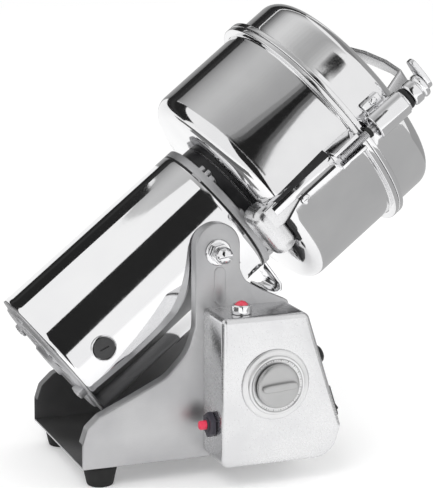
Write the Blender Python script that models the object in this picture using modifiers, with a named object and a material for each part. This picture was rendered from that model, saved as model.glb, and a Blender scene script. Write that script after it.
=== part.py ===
"""Swing-type hammer mill: a motor and grinding bowl tilting between the two arms of a sheet bracket."""

import math

import bmesh
import bpy
from mathutils import Matrix, Vector

# Every length here is in millimetres. The meshes are made in metres.
MM = 0.001
FIT = 0.3            # clearance between pieces that touch or seat
BORE = 0.25          # radial clearance of a turning fit

TILT = 51.4          # degrees the head leans forward at rest
PIVOT_X, PIVOT_Z = -9.0, 197.0

TUBE_R = 71.0
TUBE_WALL = 2.0
TUBE_LOW, TUBE_TOP = -172.4, 33.7
FLANGE_LOW, FLANGE_TOP = 35.8, 43.8
BOWL_R = 114.1
BOWL_WALL = 1.6
BOWL_LOW, RIM_LOW = 57.7, 162.7
RIM_R = 122.1
RIM_MID = 168.0
RIM_TOP = 173.6
LID_R = 114.7
LID_TOP = 220.7
SHAFT_R = 5.0
BEARING_R = 11.0
BRUSH_S = -137.0

SHEET = 2.0
BASE_Y = 86.15       # half the width over the two arms
FLANGE_IN = 12.5     # depth of the arms' turned-in edges
BOX_DEPTH = 50.0
BOX_WALL = 2.2
FOOT_TALL = 21.0
ROD_X, ROD_Y, ROD_R = -4.0, -127.5, 4.0
CHANNEL_X = -7.0
HANDLE_TURN = 10.0
HINGE_Y, HINGE_S = 129.0, 168.15
PIN_R = 2.5
BOLT_R = 5.0

ROUND, BIG, MID, SMALL = 36, 28, 20, 16


# ---------------------------------------------------------------- scene and helpers
for old in list(bpy.data.objects):
    bpy.data.objects.remove(old, do_unlink=True)

body = bpy.data.collections.new("hammer_mill")
cutters = bpy.data.collections.new("cutters")
bpy.context.scene.collection.children.link(body)
bpy.context.scene.collection.children.link(cutters)


def axis_point(name, at, turn=(0, 0, 0), parent=None):
    empty = bpy.data.objects.new(name, None)
    empty.location = Vector(at) * MM
    empty.rotation_euler = [math.radians(t) for t in turn]
    empty.empty_display_size = 0.02
    empty.parent = parent
    body.objects.link(empty)
    return empty


def finish(name, mesh, parent, at, turn, helper):
    obj = bpy.data.objects.new(name, mesh)
    obj.parent = parent
    obj.location = Vector(at) * MM
    obj.rotation_euler = [math.radians(t) for t in turn]
    if helper:
        cutters.objects.link(obj)
        obj.hide_render = True
        obj.display_type = "WIRE"
    else:
        body.objects.link(obj)
    return obj


def paint(obj, kind):
    colour, metal, rough = FINISHES[kind]
    mat = bpy.data.materials.new("mat_" + obj.name)
    mat.use_nodes = True
    shader = mat.node_tree.nodes["Principled BSDF"]
    shader.inputs["Base Color"].default_value = (*colour, 1.0)
    shader.inputs["Metallic"].default_value = metal
    shader.inputs["Roughness"].default_value = rough
    mat.diffuse_color = (*colour, 1.0)
    obj.data.materials.append(mat)
    return obj


FINISHES = {
    "polished": ((0.80, 0.80, 0.81), 1.0, 0.12),
    "brushed": ((0.70, 0.70, 0.71), 1.0, 0.35),
    "cast": ((0.62, 0.62, 0.63), 1.0, 0.5),
    "steel": ((0.45, 0.45, 0.47), 1.0, 0.3),
    "iron": ((0.12, 0.12, 0.13), 0.6, 0.6),
    "copper": ((0.72, 0.38, 0.20), 1.0, 0.35),
    "black": ((0.02, 0.02, 0.02), 0.0, 0.4),
    "rubber": ((0.03, 0.03, 0.03), 0.0, 0.8),
    "red": ((0.75, 0.03, 0.04), 0.0, 0.25),
    "silver": ((0.66, 0.67, 0.68), 0.4, 0.4),
}


def from_bm(name, bm, parent, at=(0, 0, 0), turn=(0, 0, 0), kind=None):
    bmesh.ops.recalc_face_normals(bm, faces=bm.faces)
    bmesh.ops.scale(bm, vec=(MM, MM, MM), verts=bm.verts)
    mesh = bpy.data.meshes.new(name)
    bm.to_mesh(mesh)
    bm.free()
    mesh.shade_smooth()
    mesh.set_sharp_from_angle(angle=math.radians(32))
    obj = finish(name, mesh, parent, at, turn, kind is None)
    return paint(obj, kind) if kind else obj


def turned(name, profile, parent, at=(0, 0, 0), turn=(0, 0, 0), kind=None, steps=MID):
    """A closed profile of (radius, height), listed down its outer side, turned about Z."""
    bm = bmesh.new()
    points = [bm.verts.new((r * MM, 0, h * MM)) for r, h in profile]
    for here, there in zip(points, points[1:]):
        if here.co.x > 0 or there.co.x > 0:
            bm.edges.new((here, there))
    if profile[0][0] > 0 or profile[-1][0] > 0:
        bm.edges.new((points[-1], points[0]))
    mesh = bpy.data.meshes.new(name)
    bm.to_mesh(mesh)
    bm.free()
    obj = finish(name, mesh, parent, at, turn, kind is None)
    screw = obj.modifiers.new("Turn", "SCREW")
    screw.steps = screw.render_steps = steps
    screw.use_merge_vertices = True
    screw.merge_threshold = 0.00001
    screw.use_smooth_shade = True
    if kind:
        paint(obj, kind)
    return obj


def ring(name, r_in, r_out, low, high, parent, at=(0, 0, 0), turn=(0, 0, 0), kind=None, steps=MID):
    profile = [(r_in, high), (r_out, high), (r_out, low), (r_in, low)]
    return turned(name, profile, parent, at, turn, kind, steps)


def rod(name, radius, low, high, parent, at=(0, 0, 0), turn=(0, 0, 0), kind=None, steps=SMALL):
    profile = [(0, high), (radius, high), (radius, low), (0, low)]
    return turned(name, profile, parent, at, turn, kind, steps)


def prism(outline, low, high, plane="XZ"):
    """A filled 2D curve given thickness. The plane names which axes the outline's two numbers follow."""
    curve = bpy.data.curves.new("outline", "CURVE")
    curve.dimensions = "2D"
    curve.fill_mode = "BOTH"
    curve.extrude = abs(high - low) / 2
    spline = curve.splines.new("POLY")
    spline.points.add(len(outline) - 1)
    for point, (u, v) in zip(spline.points, outline):
        point.co = (u, v, 0, 1)
    spline.use_cyclic_u = True
    flat = bpy.data.objects.new("outline", curve)
    cutters.objects.link(flat)
    bpy.context.view_layer.update()
    made = bpy.data.meshes.new_from_object(flat.evaluated_get(bpy.context.evaluated_depsgraph_get()))
    bpy.data.objects.remove(flat, do_unlink=True)
    bm = bmesh.new()
    bm.from_mesh(made)
    bmesh.ops.remove_doubles(bm, verts=bm.verts, dist=0.0001)
    bmesh.ops.dissolve_limit(bm, angle_limit=0.001, verts=bm.verts, edges=bm.edges)
    rows = {
        "XY": ((1, 0, 0), (0, 1, 0), (0, 0, 1)),
        "XZ": ((1, 0, 0), (0, 0, 1), (0, 1, 0)),
        "YZ": ((0, 0, 1), (1, 0, 0), (0, 1, 0)),
    }[plane]
    place = Matrix(rows).to_4x4() @ Matrix.Translation((0, 0, (low + high) / 2))
    bmesh.ops.transform(bm, matrix=place, verts=bm.verts)
    bmesh.ops.recalc_face_normals(bm, faces=bm.faces)
    return bm


def block(x0, x1, y0, y1, z0, z1, bevel=0.0, segments=3):
    bm = bmesh.new()
    bmesh.ops.create_cube(bm, size=1.0)
    bmesh.ops.scale(bm, vec=(x1 - x0, y1 - y0, z1 - z0), verts=bm.verts)
    bmesh.ops.translate(bm, vec=((x0 + x1) / 2, (y0 + y1) / 2, (z0 + z1) / 2), verts=bm.verts)
    if bevel:
        bmesh.ops.bevel(
            bm, geom=bm.edges[:], offset=bevel, segments=segments, profile=0.5, affect="EDGES"
        )
    return bm


def hexagon(across):
    radius = across / math.sqrt(3)
    return [(radius * math.cos(k * math.pi / 3), radius * math.sin(k * math.pi / 3)) for k in range(6)]


def arc(centre, radius, start, end, count):
    steps = [math.radians(start + (end - start) * k / count) for k in range(count + 1)]
    return [(centre[0] + radius * math.cos(t), centre[1] + radius * math.sin(t)) for t in steps]


def rounded(corners, count=4):
    """An outline whose corners (u, v, radius) are rounded."""
    out = []
    for k, (u, v, radius) in enumerate(corners):
        here = Vector((u, v))
        if not radius:
            out.append((u, v))
            continue
        back = (Vector(corners[k - 1][:2]) - here).normalized()
        ahead = (Vector(corners[(k + 1) % len(corners)][:2]) - here).normalized()
        half = back.angle(ahead) / 2
        centre = here + (back + ahead).normalized() * radius / math.sin(half)
        first = here + back * radius / math.tan(half) - centre
        last = here + ahead * radius / math.tan(half) - centre
        sweep = first.angle_signed(last)
        for j in range(count + 1):
            spoke = Matrix.Rotation(-sweep * j / count, 2) @ first
            out.append(tuple(centre + spoke))
    return out


def strip(path, thick):
    """The outline of a bent strip whose middle line follows the path."""
    line = [Vector(p) for p in path]
    left, right = [], []
    for k, here in enumerate(line):
        back = (here - line[max(k - 1, 0)]).normalized() if k else None
        ahead = (line[k + 1] - here).normalized() if k < len(line) - 1 else None
        along = ((back or ahead) + (ahead or back)).normalized()
        side = Vector((-along.y, along.x))
        stretch = 1 / max(along.dot(ahead or back), 0.5)
        left.append(tuple(here + side * thick / 2 * stretch))
        right.append(tuple(here - side * thick / 2 * stretch))
    return left + right[::-1]


def boolean(obj, other, operation):
    mod = obj.modifiers.new(operation.title(), "BOOLEAN")
    mod.operation = operation
    mod.solver = "EXACT"
    mod.object = other
    return obj


def cut(obj, *others):
    for other in others:
        boolean(obj, other, "DIFFERENCE")
    return obj


def join(obj, *others):
    for other in others:
        boolean(obj, other, "UNION")
    return obj


# ---------------------------------------------------------------- frames of the joints
frame = axis_point("frame", (0, 0, 0))
head = axis_point("head_axis", (PIVOT_X, 0, PIVOT_Z), (0, TILT, 0), frame)
spin = axis_point("rotor_axis", (0, 0, 0), (0, 0, 0), head)
lid_axis = axis_point("lid_axis", (0, HINGE_Y, HINGE_S), (0, 0, 0), head)
clamp = axis_point("clamp_axis", (ROD_X, ROD_Y, 0), (0, 0, 0), head)

NEAR_TURN = (90, 0, 0)     # turns a piece's +Z to the near side, -Y
FAR_TURN = (-90, 0, 0)     # turns a piece's +Z to the far side, +Y


# ---------------------------------------------------------------- sheet bracket and feet
SLOPE = [
    (-142.4, 0), (-142, 25), (-137, 39.2), (-125.4, 50.4), (-115.7, 55.6), (-96, 63.7),
    (-76.6, 72.3), (-58.9, 81.6), (-46, 93.8), (-38, 104.2), (-32, 114.2), (-31.3, 126.4),
]
ARM_TOP = arc((PIVOT_X, PIVOT_Z + 5.4), 22.0, 180, 0, 12)
ARM_RIGHT = [(13.0, 178.5), (17.9, 167.6), (35.1, 157.6), (61.7, 145.7)]
BACK_EDGE = [(88.0, 40.0), (88.0, 0)]
ARM = SLOPE + ARM_TOP + ARM_RIGHT + BACK_EDGE


def inset(outline, by):
    """The open outline moved inwards by half a sheet, as the middle line of its turned-in edge."""
    line = [Vector(p) for p in outline]
    out = []
    for k, here in enumerate(line):
        back = here - line[k - 1] if k else line[1] - here
        ahead = line[k + 1] - here if k < len(line) - 1 else back
        along = (back.normalized() + ahead.normalized()).normalized()
        out.append(tuple(here + Vector((along.y, -along.x)) * by))
    return out


bracket = from_bm(
    "base_bracket", block(-142.1, 87.7, -BASE_Y + 0.5, BASE_Y - 0.5, 0.3, 0.3 + SHEET), frame, kind="brushed"
)
EDGE = inset(SLOPE[1:] + ARM_TOP + ARM_RIGHT, SHEET / 2 + 0.25)
for side, sign in (("near", -1), ("far", 1)):
    y_out = sign * BASE_Y
    y_in = sign * (BASE_Y - SHEET)
    y_rim = sign * (BASE_Y - 0.5)
    y_edge = sign * (BASE_Y - FLANGE_IN)
    arm = from_bm("arm_" + side, prism(ARM, min(y_out, y_in), max(y_out, y_in)), frame)
    edge = from_bm("edge_" + side, prism(strip(EDGE, SHEET), min(y_rim, y_edge), max(y_rim, y_edge)), frame)
    hole = rod("bolt_hole_" + side, BOLT_R + BORE, BASE_Y - 20, BASE_Y + 5, frame,
               (PIVOT_X, 0, PIVOT_Z), NEAR_TURN if sign < 0 else FAR_TURN)
    join(bracket, arm, edge)
    cut(bracket, hole)
rib = from_bm("arm_rib", block(-11.5, -2.5, -BASE_Y - 1.4, -BASE_Y + 0.8, 146.5, 181.3), frame)
join(bracket, rib)
bracket.modifiers[-1].solver = "MANIFOLD"
gland_hole = rod("gland_hole", 6.3 + FIT, BASE_Y - 5, BASE_Y + 5, frame, (45, 0, 40), FAR_TURN)
cut(bracket, gland_hole)

FOOT = [(0, -FIT), (14.5, -FIT), (16.5, -2.3), (12.6, -19.5), (11, -FOOT_TALL), (0, -FOOT_TALL)]
for name, x, y in (("foot_near_left", -120, -66), ("foot_far_left", -120, 66), ("foot_right", 72, 0)):
    turned(name, FOOT, frame, (x, y, 0), kind="rubber", steps=18)

turned(
    "cord_gland",
    [(3.6, 12), (6, 12), (8, 8), (9.5, 7), (9.5, FIT), (6.3, FIT), (6.3, -10), (3.6, -10)],
    frame, (45, BASE_Y, 40), FAR_TURN, "black", 18,
)

# ---------------------------------------------------------------- control box and its fittings
BOX_Y0, BOX_Y1 = -BASE_Y - BOX_DEPTH - FIT, -BASE_Y - FIT
SLANT_TOP, SLANT_LOW = Vector((61.7, 145.0)), Vector((96.4, 33.3))
slant = (SLANT_LOW - SLANT_TOP).normalized()
SLANT_ANGLE = math.degrees(math.atan2(-slant.x, -slant.y))


def box_outline(by):
    out = Vector((-slant.y, slant.x)) * by
    return rounded([
        (-23.3 + by, 3.0 + by, 8.0), (-23.3 + by, 145.0 - by, 5.0),
        (61.7 - out.x, 145.0 - by, 7.0), (96.6 - out.x, 32.7 - out.y, 6.0),
        (88.0 - by, 3.0 + by, 22.0),
    ])


bm = prism(box_outline(0), BOX_Y0, BOX_Y1)
front = [e for e in bm.edges if all(abs(v.co.y - BOX_Y0) < 0.01 for v in e.verts)]
bmesh.ops.bevel(bm, geom=front, offset=5.0, segments=4, profile=0.5, affect="EDGES")
box = from_bm("control_box", bm, frame, kind="polished")
hollow = from_bm("box_hollow", prism(box_outline(BOX_WALL), BOX_Y0 + 5.2, BOX_Y1 + 5), frame)
face_cut = from_bm("box_hollow_front", prism(box_outline(4.8), BOX_Y0 + BOX_WALL, BOX_Y0 + 8), frame)
cut(box, hollow, face_cut)

LAMP_X, LAMP_Y = 2.0, -BASE_Y - 31.85
turned(
    "lamp_bezel",
    [(6.9 + FIT, 8.5), (8.6, 8.5), (9.5, 6.5), (9.5, FIT), (6.0, FIT), (6.0, -16), (0, -16), (0, 3.0), (6.9 + FIT, 3.0)],
    frame, (LAMP_X, LAMP_Y, 145), kind="polished", steps=18,
)
turned(
    "lamp_lens", [(0, 12.5), (3.4, 12.0), (5.8, 10.5), (6.9, 8.0), (6.9, 3.0 + FIT), (0, 3.0 + FIT)],
    frame, (LAMP_X, LAMP_Y, 145), kind="red", steps=18,
)
cut(box, rod("lamp_hole", 6.0 + BORE, -10, 5, frame, (LAMP_X, LAMP_Y, 145)))

DIAL_X, DIAL_Z = 28.6, 79.7
timer_axis = axis_point("timer_axis", (DIAL_X, BOX_Y0, DIAL_Z), NEAR_TURN, frame)
turned(
    "timer_dial",
    [(5.0 + BORE, 5.4), (26.6, 5.4), (27.6, 4.4), (27.6, 2.6), (32.4, 2.6), (33.5, 1.6), (33.5, FIT), (5.0 + BORE, FIT)],
    timer_axis, kind="silver", steps=BIG,
)
turned(
    "timer_body",
    [(3.0 + BORE, 6.0), (5.0, 6.0), (5.0, -BOX_WALL - FIT), (24, -BOX_WALL - FIT), (24, -38), (0, -38), (0, -24), (3.0 + BORE, -24)],
    timer_axis, kind="steel", steps=MID,
)
knob = turned(
    "timer_knob",
    [(0, 11.5), (18.8, 11.5), (20.4, 10.3), (21, 6.8), (20.2, 5.4 + 2 * FIT), (5.4, 6.6), (3.0, 6.6), (3.0, -20), (0, -20)],
    timer_axis, kind="silver", steps=24,
)
join(knob, from_bm("knob_grip", block(-18.0, 18.0, -3.4, 3.4, 8, 14.6, 0.9, 2), timer_axis))
cut(box, rod("timer_hole", 5.0 + BORE, -6, 4, timer_axis))

RESET_Y, RESET_Z = -BASE_Y - 24.85, 39.8
reset_axis = axis_point("reset_axis", (-23.3, RESET_Y, RESET_Z), (0, -90, 0), frame)
nut = from_bm("reset_nut", prism(hexagon(21.5), FIT, 6.2, "XY"), reset_axis, kind="black")
cut(nut, rod("reset_nut_bore", 7.0 + BORE, -2, 9, reset_axis))
breaker = from_bm("reset_breaker", block(-9, 9, -8, 8, -30, -BOX_WALL - FIT), reset_axis, kind="black")
join(breaker, rod("breaker_neck", 7.0, -6, 6.6, reset_axis))
cut(breaker, rod("breaker_bore", 4.3 + BORE, -12.5, 9, reset_axis))
turned("reset_button", [(0, 14.4), (3.4, 14.2), (4.3, 13.2), (4.3, -8.5), (0, -8.5)], reset_axis, kind="red", steps=18)
cut(box, rod("reset_hole", 7.0 + BORE, -6, 3, reset_axis))


def slant_frame(name, z):
    part = (145.0 - z) / (145.0 - 33.3)
    x = 61.7 + part * (96.4 - 61.7)
    return axis_point(name, (x, -BASE_Y - 24.85, z), (0, 90 + SLANT_ANGLE, 0), frame)


# The slanted side leans back, so a fitting's own Z points out of it.
fuse_at = slant_frame("fuse_axis", 96)
fuse = turned(
    "fuse_holder",
    [(0, 10), (5.5, 9.4), (8.6, 7.4), (9.4, 4.0), (10.2, 2.6), (10.2, FIT), (7.0, FIT), (7.0, -24), (0, -24)],
    fuse_at, kind="black", steps=18,
)
cut(fuse, from_bm("fuse_slot", block(-6, 6, -0.8, 0.8, 8.2, 12), fuse_at))
cut(box, rod("fuse_hole", 7.0 + BORE, -6, 3, fuse_at))

switch_at = slant_frame("switch_axis", 53)
housing = from_bm("switch_frame", block(-15.5, 15.5, -12.5, 12.5, FIT, 4.4, 1.2, 2), switch_at, kind="black")
join(housing, from_bm("switch_back", block(-13.8, 13.8, -10.8, 10.8, -18, 3), switch_at))
cut(housing, from_bm("switch_pocket", block(-12.4, 12.4, -9.2, 9.2, -6.5, 9), switch_at))
# The rocker turns about a line SWITCH_PIVOT above the side, and rests leaning half its travel.
SWITCH_PIVOT, ROCKER_LEAN = 2.2, -10.0
from_bm(
    "switch_rocker",
    prism([(-12.0, -1.0), (-11.5, 3.2), (0, 2.2), (11.5, 3.2), (12.0, -1.0), (6, -5), (-6, -5)], -8.9, 8.9),
    axis_point("rocker_axis", (0, 0, SWITCH_PIVOT), (0, 0, 0), switch_at), (0, 0, 0), (0, ROCKER_LEAN, 0), "black",
)
cut(box, from_bm("switch_hole", block(-13.8 - BORE, 13.8 + BORE, -10.8 - BORE, 10.8 + BORE, -8, 3), switch_at))

# ---------------------------------------------------------------- pivot of the head
for side, turn in (("near", NEAR_TURN), ("far", FAR_TURN)):
    trunnion = ring("trunnion_" + side, BOLT_R + BORE, 14, 66, BASE_Y - SHEET - FIT, head, (0, 0, 0), turn, "steel", 20)
    seat = rod("trunnion_seat_" + side, TUBE_R + FIT, -40, 28, head, steps=BIG)
    cut(trunnion, seat)
    bolt = turned(
        "pivot_bolt_" + side,
        [(0, BASE_Y + 24), (4.6, BASE_Y + 22.6), (7.2, BASE_Y + 19.6), (8, BASE_Y + 16), (8, BASE_Y + 11.5),
         (BOLT_R, BASE_Y + 11.5), (BOLT_R, 65), (0, 65)],
        head, (0, 0, 0), turn, "polished", 20,
    )
    slot = from_bm("bolt_slot_" + side, block(-9, 9, -0.8, 0.8, BASE_Y + 21.2, BASE_Y + 30), head, (0, 0, 0), turn)
    cut(bolt, slot)
    nut = from_bm("pivot_nut_" + side, prism(hexagon(17), BASE_Y + 1.6, BASE_Y + 10.6, "XY"), frame,
                  (PIVOT_X, 0, PIVOT_Z), turn, "polished")
    join(nut, rod("pivot_nut_flange_" + side, 12.5, BASE_Y + FIT, BASE_Y + 2.2, frame, (PIVOT_X, 0, PIVOT_Z), turn, steps=18))
    cut(nut, rod("pivot_nut_bore_" + side, BOLT_R + BORE, BASE_Y, BASE_Y + 14, frame, (PIVOT_X, 0, PIVOT_Z), turn))

# ---------------------------------------------------------------- motor
motor = ring("motor_housing", TUBE_R - TUBE_WALL, TUBE_R, TUBE_LOW, TUBE_TOP, head, kind="polished", steps=BIG)
for side, turn in (("near", NEAR_TURN), ("far", FAR_TURN)):
    cut(motor, rod("housing_bore_" + side, BOLT_R + BORE, 60, 80, head, (0, 0, 0), turn))
    cut(motor, rod("brush_hole_" + side, 9.0 + BORE, 60, 80, head, (0, 0, BRUSH_S), turn))
    cap = turned(
        "brush_cap_" + side,
        [(0, 73.3), (9.8, 73.3), (10.6, 72.6), (10.6, TUBE_R + FIT), (9, TUBE_R + FIT), (9, 26), (5.3, 26), (5.3, 66), (0, 66)],
        head, (0, 0, BRUSH_S), turn, "black", 20,
    )
    cut(cap, from_bm("brush_slot_" + side, block(-7, 7, -1, 1, 72, 80), head, (0, 0, BRUSH_S), (turn[0], 0, 0)))
    from_bm("carbon_brush_" + side, block(-3.5, 3.5, -3.5, 3.5, 17.0, 65.7), head, (0, 0, BRUSH_S), turn, "iron")

cover = turned(
    "motor_end_cover",
    [(BEARING_R + BORE, -160), (15, -160), (15, -172.7), (64, -172.7), (64, -168), (68.7, -168), (68.7, -172.7),
     (71, -172.7), (71, -175.6), (63, -175.6), (60, -180.5), (16, -180.5), (14, -182), (8, -182), (8, -178),
     (BEARING_R + BORE, -178)],
    head, kind="cast", steps=BIG,
)
vents = bmesh.new()
for k in range(12):
    slot = block(22, 54, -3.5, 3.5, -190, -160)
    spare = bpy.data.meshes.new("vent")
    slot.to_mesh(spare)
    slot.free()
    spare.transform(Matrix.Rotation(math.radians(30 * k + 15), 4, "Z"))
    vents.from_mesh(spare)
cut(cover, from_bm("vent_slots", vents, head))
for name, angle in (("lug_low", -68), ("lug_side", -158), ("lug_far", 22), ("lug_right", 112)):
    lug = from_bm(name, block(52, 64.5, -7, 7, -183.5, -174, 1.5, 2), head, (0, 0, 0), (0, 0, angle))
    join(cover, lug)

flange = turned(
    "motor_flange",
    [(52, 57.4), (60, 57.4), (60, FLANGE_TOP), (TUBE_R, FLANGE_TOP), (TUBE_R, FLANGE_LOW),
     (TUBE_R - TUBE_WALL - FIT, FLANGE_LOW), (TUBE_R - TUBE_WALL - FIT, 26), (64, 26), (64, 38), (18, 38), (18, 29),
     (BEARING_R + BORE, 29), (BEARING_R + BORE, 40.5), (7, 40.5), (7, 46), (52, 46)],
    head, kind="cast", steps=BIG,
)
for name, angle, r0, r1, s0, s1, half in (
    ("flange_bridge", -140, 66, 71, 34.0, 37, 6.5),
    ("flange_lug_a", -43.5, 58, 70.5, 42, 50.7, 6.5),
    ("flange_lug_b", -137, 58, 70.5, 42, 47, 8),
    ("flange_lug_c", 43.5, 58, 70.5, 42, 50.7, 6.5),
    ("flange_lug_d", 137, 58, 70.5, 42, 50.7, 6.5),
):
    join(flange, from_bm(name, block(r0, r1, -half, half, s0, s1), head, (0, 0, 0), (0, 0, angle)))

ring("bearing_lower", SHAFT_R + BORE, BEARING_R, -176, -169, head, kind="steel", steps=18)
ring("bearing_upper", SHAFT_R + BORE, BEARING_R, 32, 39.5, head, kind="steel", steps=18)
turned(
    "stator_core",
    [(36, -22), (68.6, -22), (68.6, -96), (36, -96)],
    head, kind="iron", steps=BIG,
)

# ---------------------------------------------------------------- rotor and blades
BLADES = (
    ("blade_lower", 70.0, 96, 13, 0, 83.3),
    ("blade_middle", 86.0, 88, 0, 60, 99.3),
    ("blade_upper", 102.0, 78, -11, 120, 104.4),
)
turned("rotor_shaft", [(0, 117), (3.6, 117), (SHAFT_R, 115.6), (SHAFT_R, -176), (0, -176)], spin, kind="steel", steps=18)
ring("rotor_core", SHAFT_R + BORE, 35.4, -98, -20, spin, kind="iron", steps=24)
ring("commutator", SHAFT_R + BORE, 16.6, -152, -122, spin, kind="copper", steps=18)
fan = ring("cooling_fan", SHAFT_R + BORE, 12, -14, 14, spin, kind="black", steps=18)
join(fan, ring("fan_disc", 11, 58, -14, -11, spin, steps=18))
for k in range(8):
    join(fan, from_bm(f"fan_blade_{k}", block(20, 56, -1, 1, -12, 6), spin, (0, 0, 0), (0, 0, 45 * k + 20)))

for name, height, reach, lift, angle, hub_top in BLADES:
    half = strip([(-reach, height + lift), (-reach + 16, height), (reach - 16, height), (reach, height + lift)], 2.6)
    arms = from_bm(name, prism(half, -9, 9), spin, (0, 0, 0), (0, 0, angle), "steel")
    join(arms, rod(name + "_hub", 12.0, height - 2.4, hub_top, spin, steps=18))
    cut(arms, rod(name + "_bore", SHAFT_R + BORE, height - 9, hub_top + 5, spin))
turned(
    "shaft_seal",
    [(SHAFT_R + BORE, 66.5), (8, 66.5), (18, 62.5), (18, 59.8), (12, 59.8), (12, 50), (SHAFT_R + BORE, 50)],
    head, kind="brushed", steps=18,
)
blade_nut = from_bm("blade_nut", prism(hexagon(16), 104.7, 112.5, "XY"), spin, kind="steel")
cut(blade_nut, rod("blade_nut_bore", SHAFT_R + BORE, 100, 120, spin))

# ---------------------------------------------------------------- grinding bowl
inner = BOWL_R - BOWL_WALL
CORNER = 16.3


def corner_arc(radius, height, size, count=4):
    """Points down and round the bowl's lower corner, from its wall to its floor."""
    return arc((radius - size, height + size), size, 0, -90, count)


bowl_shape = (
    [(inner, RIM_MID), (RIM_R - 1.2, RIM_MID), (RIM_R, RIM_MID - 1.2), (RIM_R, RIM_LOW + 1.2), (RIM_R - 1.2, RIM_LOW), (BOWL_R, RIM_LOW)]
    + corner_arc(BOWL_R, BOWL_LOW, CORNER)
    + [(12 + BORE, BOWL_LOW), (12 + BORE, BOWL_LOW + BOWL_WALL)]
    + corner_arc(inner, BOWL_LOW + BOWL_WALL, CORNER - BOWL_WALL)[::-1]
)
bowl = turned("bowl", bowl_shape, head, kind="polished", steps=ROUND)

# What lies against the bowl keeps this far off its outside.
bowl_seat = turned(
    "bowl_seat", [(0, 160), (BOWL_R + FIT, 160)] + corner_arc(BOWL_R + FIT, BOWL_LOW - FIT, CORNER) + [(0, BOWL_LOW - FIT)],
    head, steps=ROUND,
)
rim_seat = rod("rim_seat", BOWL_R + FIT, 100, 168, head, steps=ROUND)
flange_seat = rod("flange_seat", TUBE_R + 2 * FIT, 10, 60, head, steps=BIG)

guard = from_bm("switch_guard", block(-14, 34, -121.5, -84, 38, 64, 7.5, 3), head, kind="polished")
channel = rod("guard_channel", 8.6, 50, 131.6, head, (CHANNEL_X, -BOWL_R, 0), steps=18)
join(guard, channel)
cut(guard, bowl_seat, flange_seat)

screw_turn = (90, 0, 3.8)
screw = turned(
    "guard_screw",
    [(0, BOWL_R + 3.6), (3.4, BOWL_R + 3.3), (5.2, BOWL_R + 1.8), (5.3, BOWL_R + FIT), (2, BOWL_R + FIT), (2, BOWL_R - 6), (0, BOWL_R - 6)],
    head, (0, 0, 90.2), screw_turn, "polished", 20,
)
cut(screw, from_bm("guard_screw_slot", block(-3, 3, -0.6, 0.6, BOWL_R + 2.4, BOWL_R + 6), head, (0, 0, 90.2), screw_turn))
cut(bowl, rod("guard_screw_hole", 2 + BORE, BOWL_R - 10, BOWL_R + 9, head, (0, 0, 90.2), screw_turn))

bracket_u = from_bm("latch_bracket", block(ROD_X - 9.5, ROD_X + 9.5, -132.5, -108, 132, RIM_LOW - FIT, 0.6, 1), head, kind="polished")
cut(bracket_u, rim_seat)
cut(bracket_u, from_bm("latch_slot", block(ROD_X - 5.8, ROD_X + 5.8, -140, -121.4, 120, 170), head))

turned(
    "hinge_pin", [(0, 19), (2.0, 19), (PIN_R, 18.2), (PIN_R, -18.2), (2.0, -19), (0, -19)],
    head, (0, HINGE_Y, HINGE_S), (0, 90, 0), "steel", 16,
)
leaf = from_bm(
    "lid_hinge_lower",
    prism([(108, 138), (118, 138), (HINGE_Y + 5, 158), (HINGE_Y + 5, HINGE_S), (HINGE_Y - 5, HINGE_S), (HINGE_Y - 5.6, RIM_LOW - FIT), (108, RIM_LOW - FIT)],
          -18, 18, "YZ"),
    head, kind="polished",
)
join(leaf, rod("knuckle_lower", 5.0, -18, 18, head, (0, HINGE_Y, HINGE_S), (0, 90, 0)))
cut(leaf, rim_seat, rod("pin_bore_lower", PIN_R + BORE, -30, 30, head, (0, HINGE_Y, HINGE_S), (0, 90, 0)))
cut(leaf, from_bm("knuckle_gap", block(-6.3, 6.3, 122.6, 145, 150, 190), head))

# ---------------------------------------------------------------- lid
LID_CORNER = arc((LID_R - 15.0, LID_TOP - 15.4), 15.2, 90, 0, 4)
lid_shape = (
    [(0, LID_TOP)] + LID_CORNER
    + [(LID_R, RIM_TOP), (RIM_R - 1.2, RIM_TOP), (RIM_R, RIM_TOP - 1.2), (RIM_R, RIM_MID + 1.3), (RIM_R - 1.2, RIM_MID + FIT),
       (inner, RIM_MID + FIT)]
    + arc((LID_R - 15.0, LID_TOP - 15.4), inner - LID_R + 15.0, 0, 90, 4)
    + [(0, LID_TOP - 15.4 + inner - LID_R + 15.0)]
)
LID_AT = (0, -HINGE_Y, -HINGE_S)
lid = turned("lid", lid_shape, lid_axis, LID_AT, kind="polished", steps=ROUND)
ring("lid_seal", inner - 3.4, inner - FIT, 161, 175, lid_axis, LID_AT, kind="rubber", steps=ROUND)

lid_seat = rod("lid_seat", LID_R + FIT, 120, 230, lid_axis, LID_AT, steps=ROUND)
upper = from_bm(
    "lid_hinge_upper",
    prism([(108, RIM_TOP + FIT), (HINGE_Y - 5.4, RIM_TOP + FIT), (HINGE_Y - 5, HINGE_S), (HINGE_Y + 5, HINGE_S), (HINGE_Y + 5, 176), (118, 196), (108, 196)],
          -6, 6, "YZ"),
    lid_axis, LID_AT, kind="polished",
)
join(upper, rod("knuckle_upper", 5.0, -6, 6, lid_axis, (0, 0, 0), (0, 90, 0)))
cut(upper, lid_seat, rod("pin_bore_upper", PIN_R + BORE, -30, 30, lid_axis, (0, 0, 0), (0, 90, 0)))

handle_path = [
    (-80, 222.7), (-66.5, 222.7), (-64.5, 225), (-52.6, 253), (-49, 256.4), (-20, 258.0),
    (20, 258.0), (49, 256.4), (52.6, 253), (64.5, 225), (66.5, 222.7), (80, 222.7),
]
bm = prism(strip(handle_path, 3.4), -8.2, 8.2, "YZ")
handle = from_bm("lid_handle", bm, lid_axis, LID_AT, (0, 0, 0), "polished")
handle.rotation_euler = (0, 0, math.radians(HANDLE_TURN))

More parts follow.
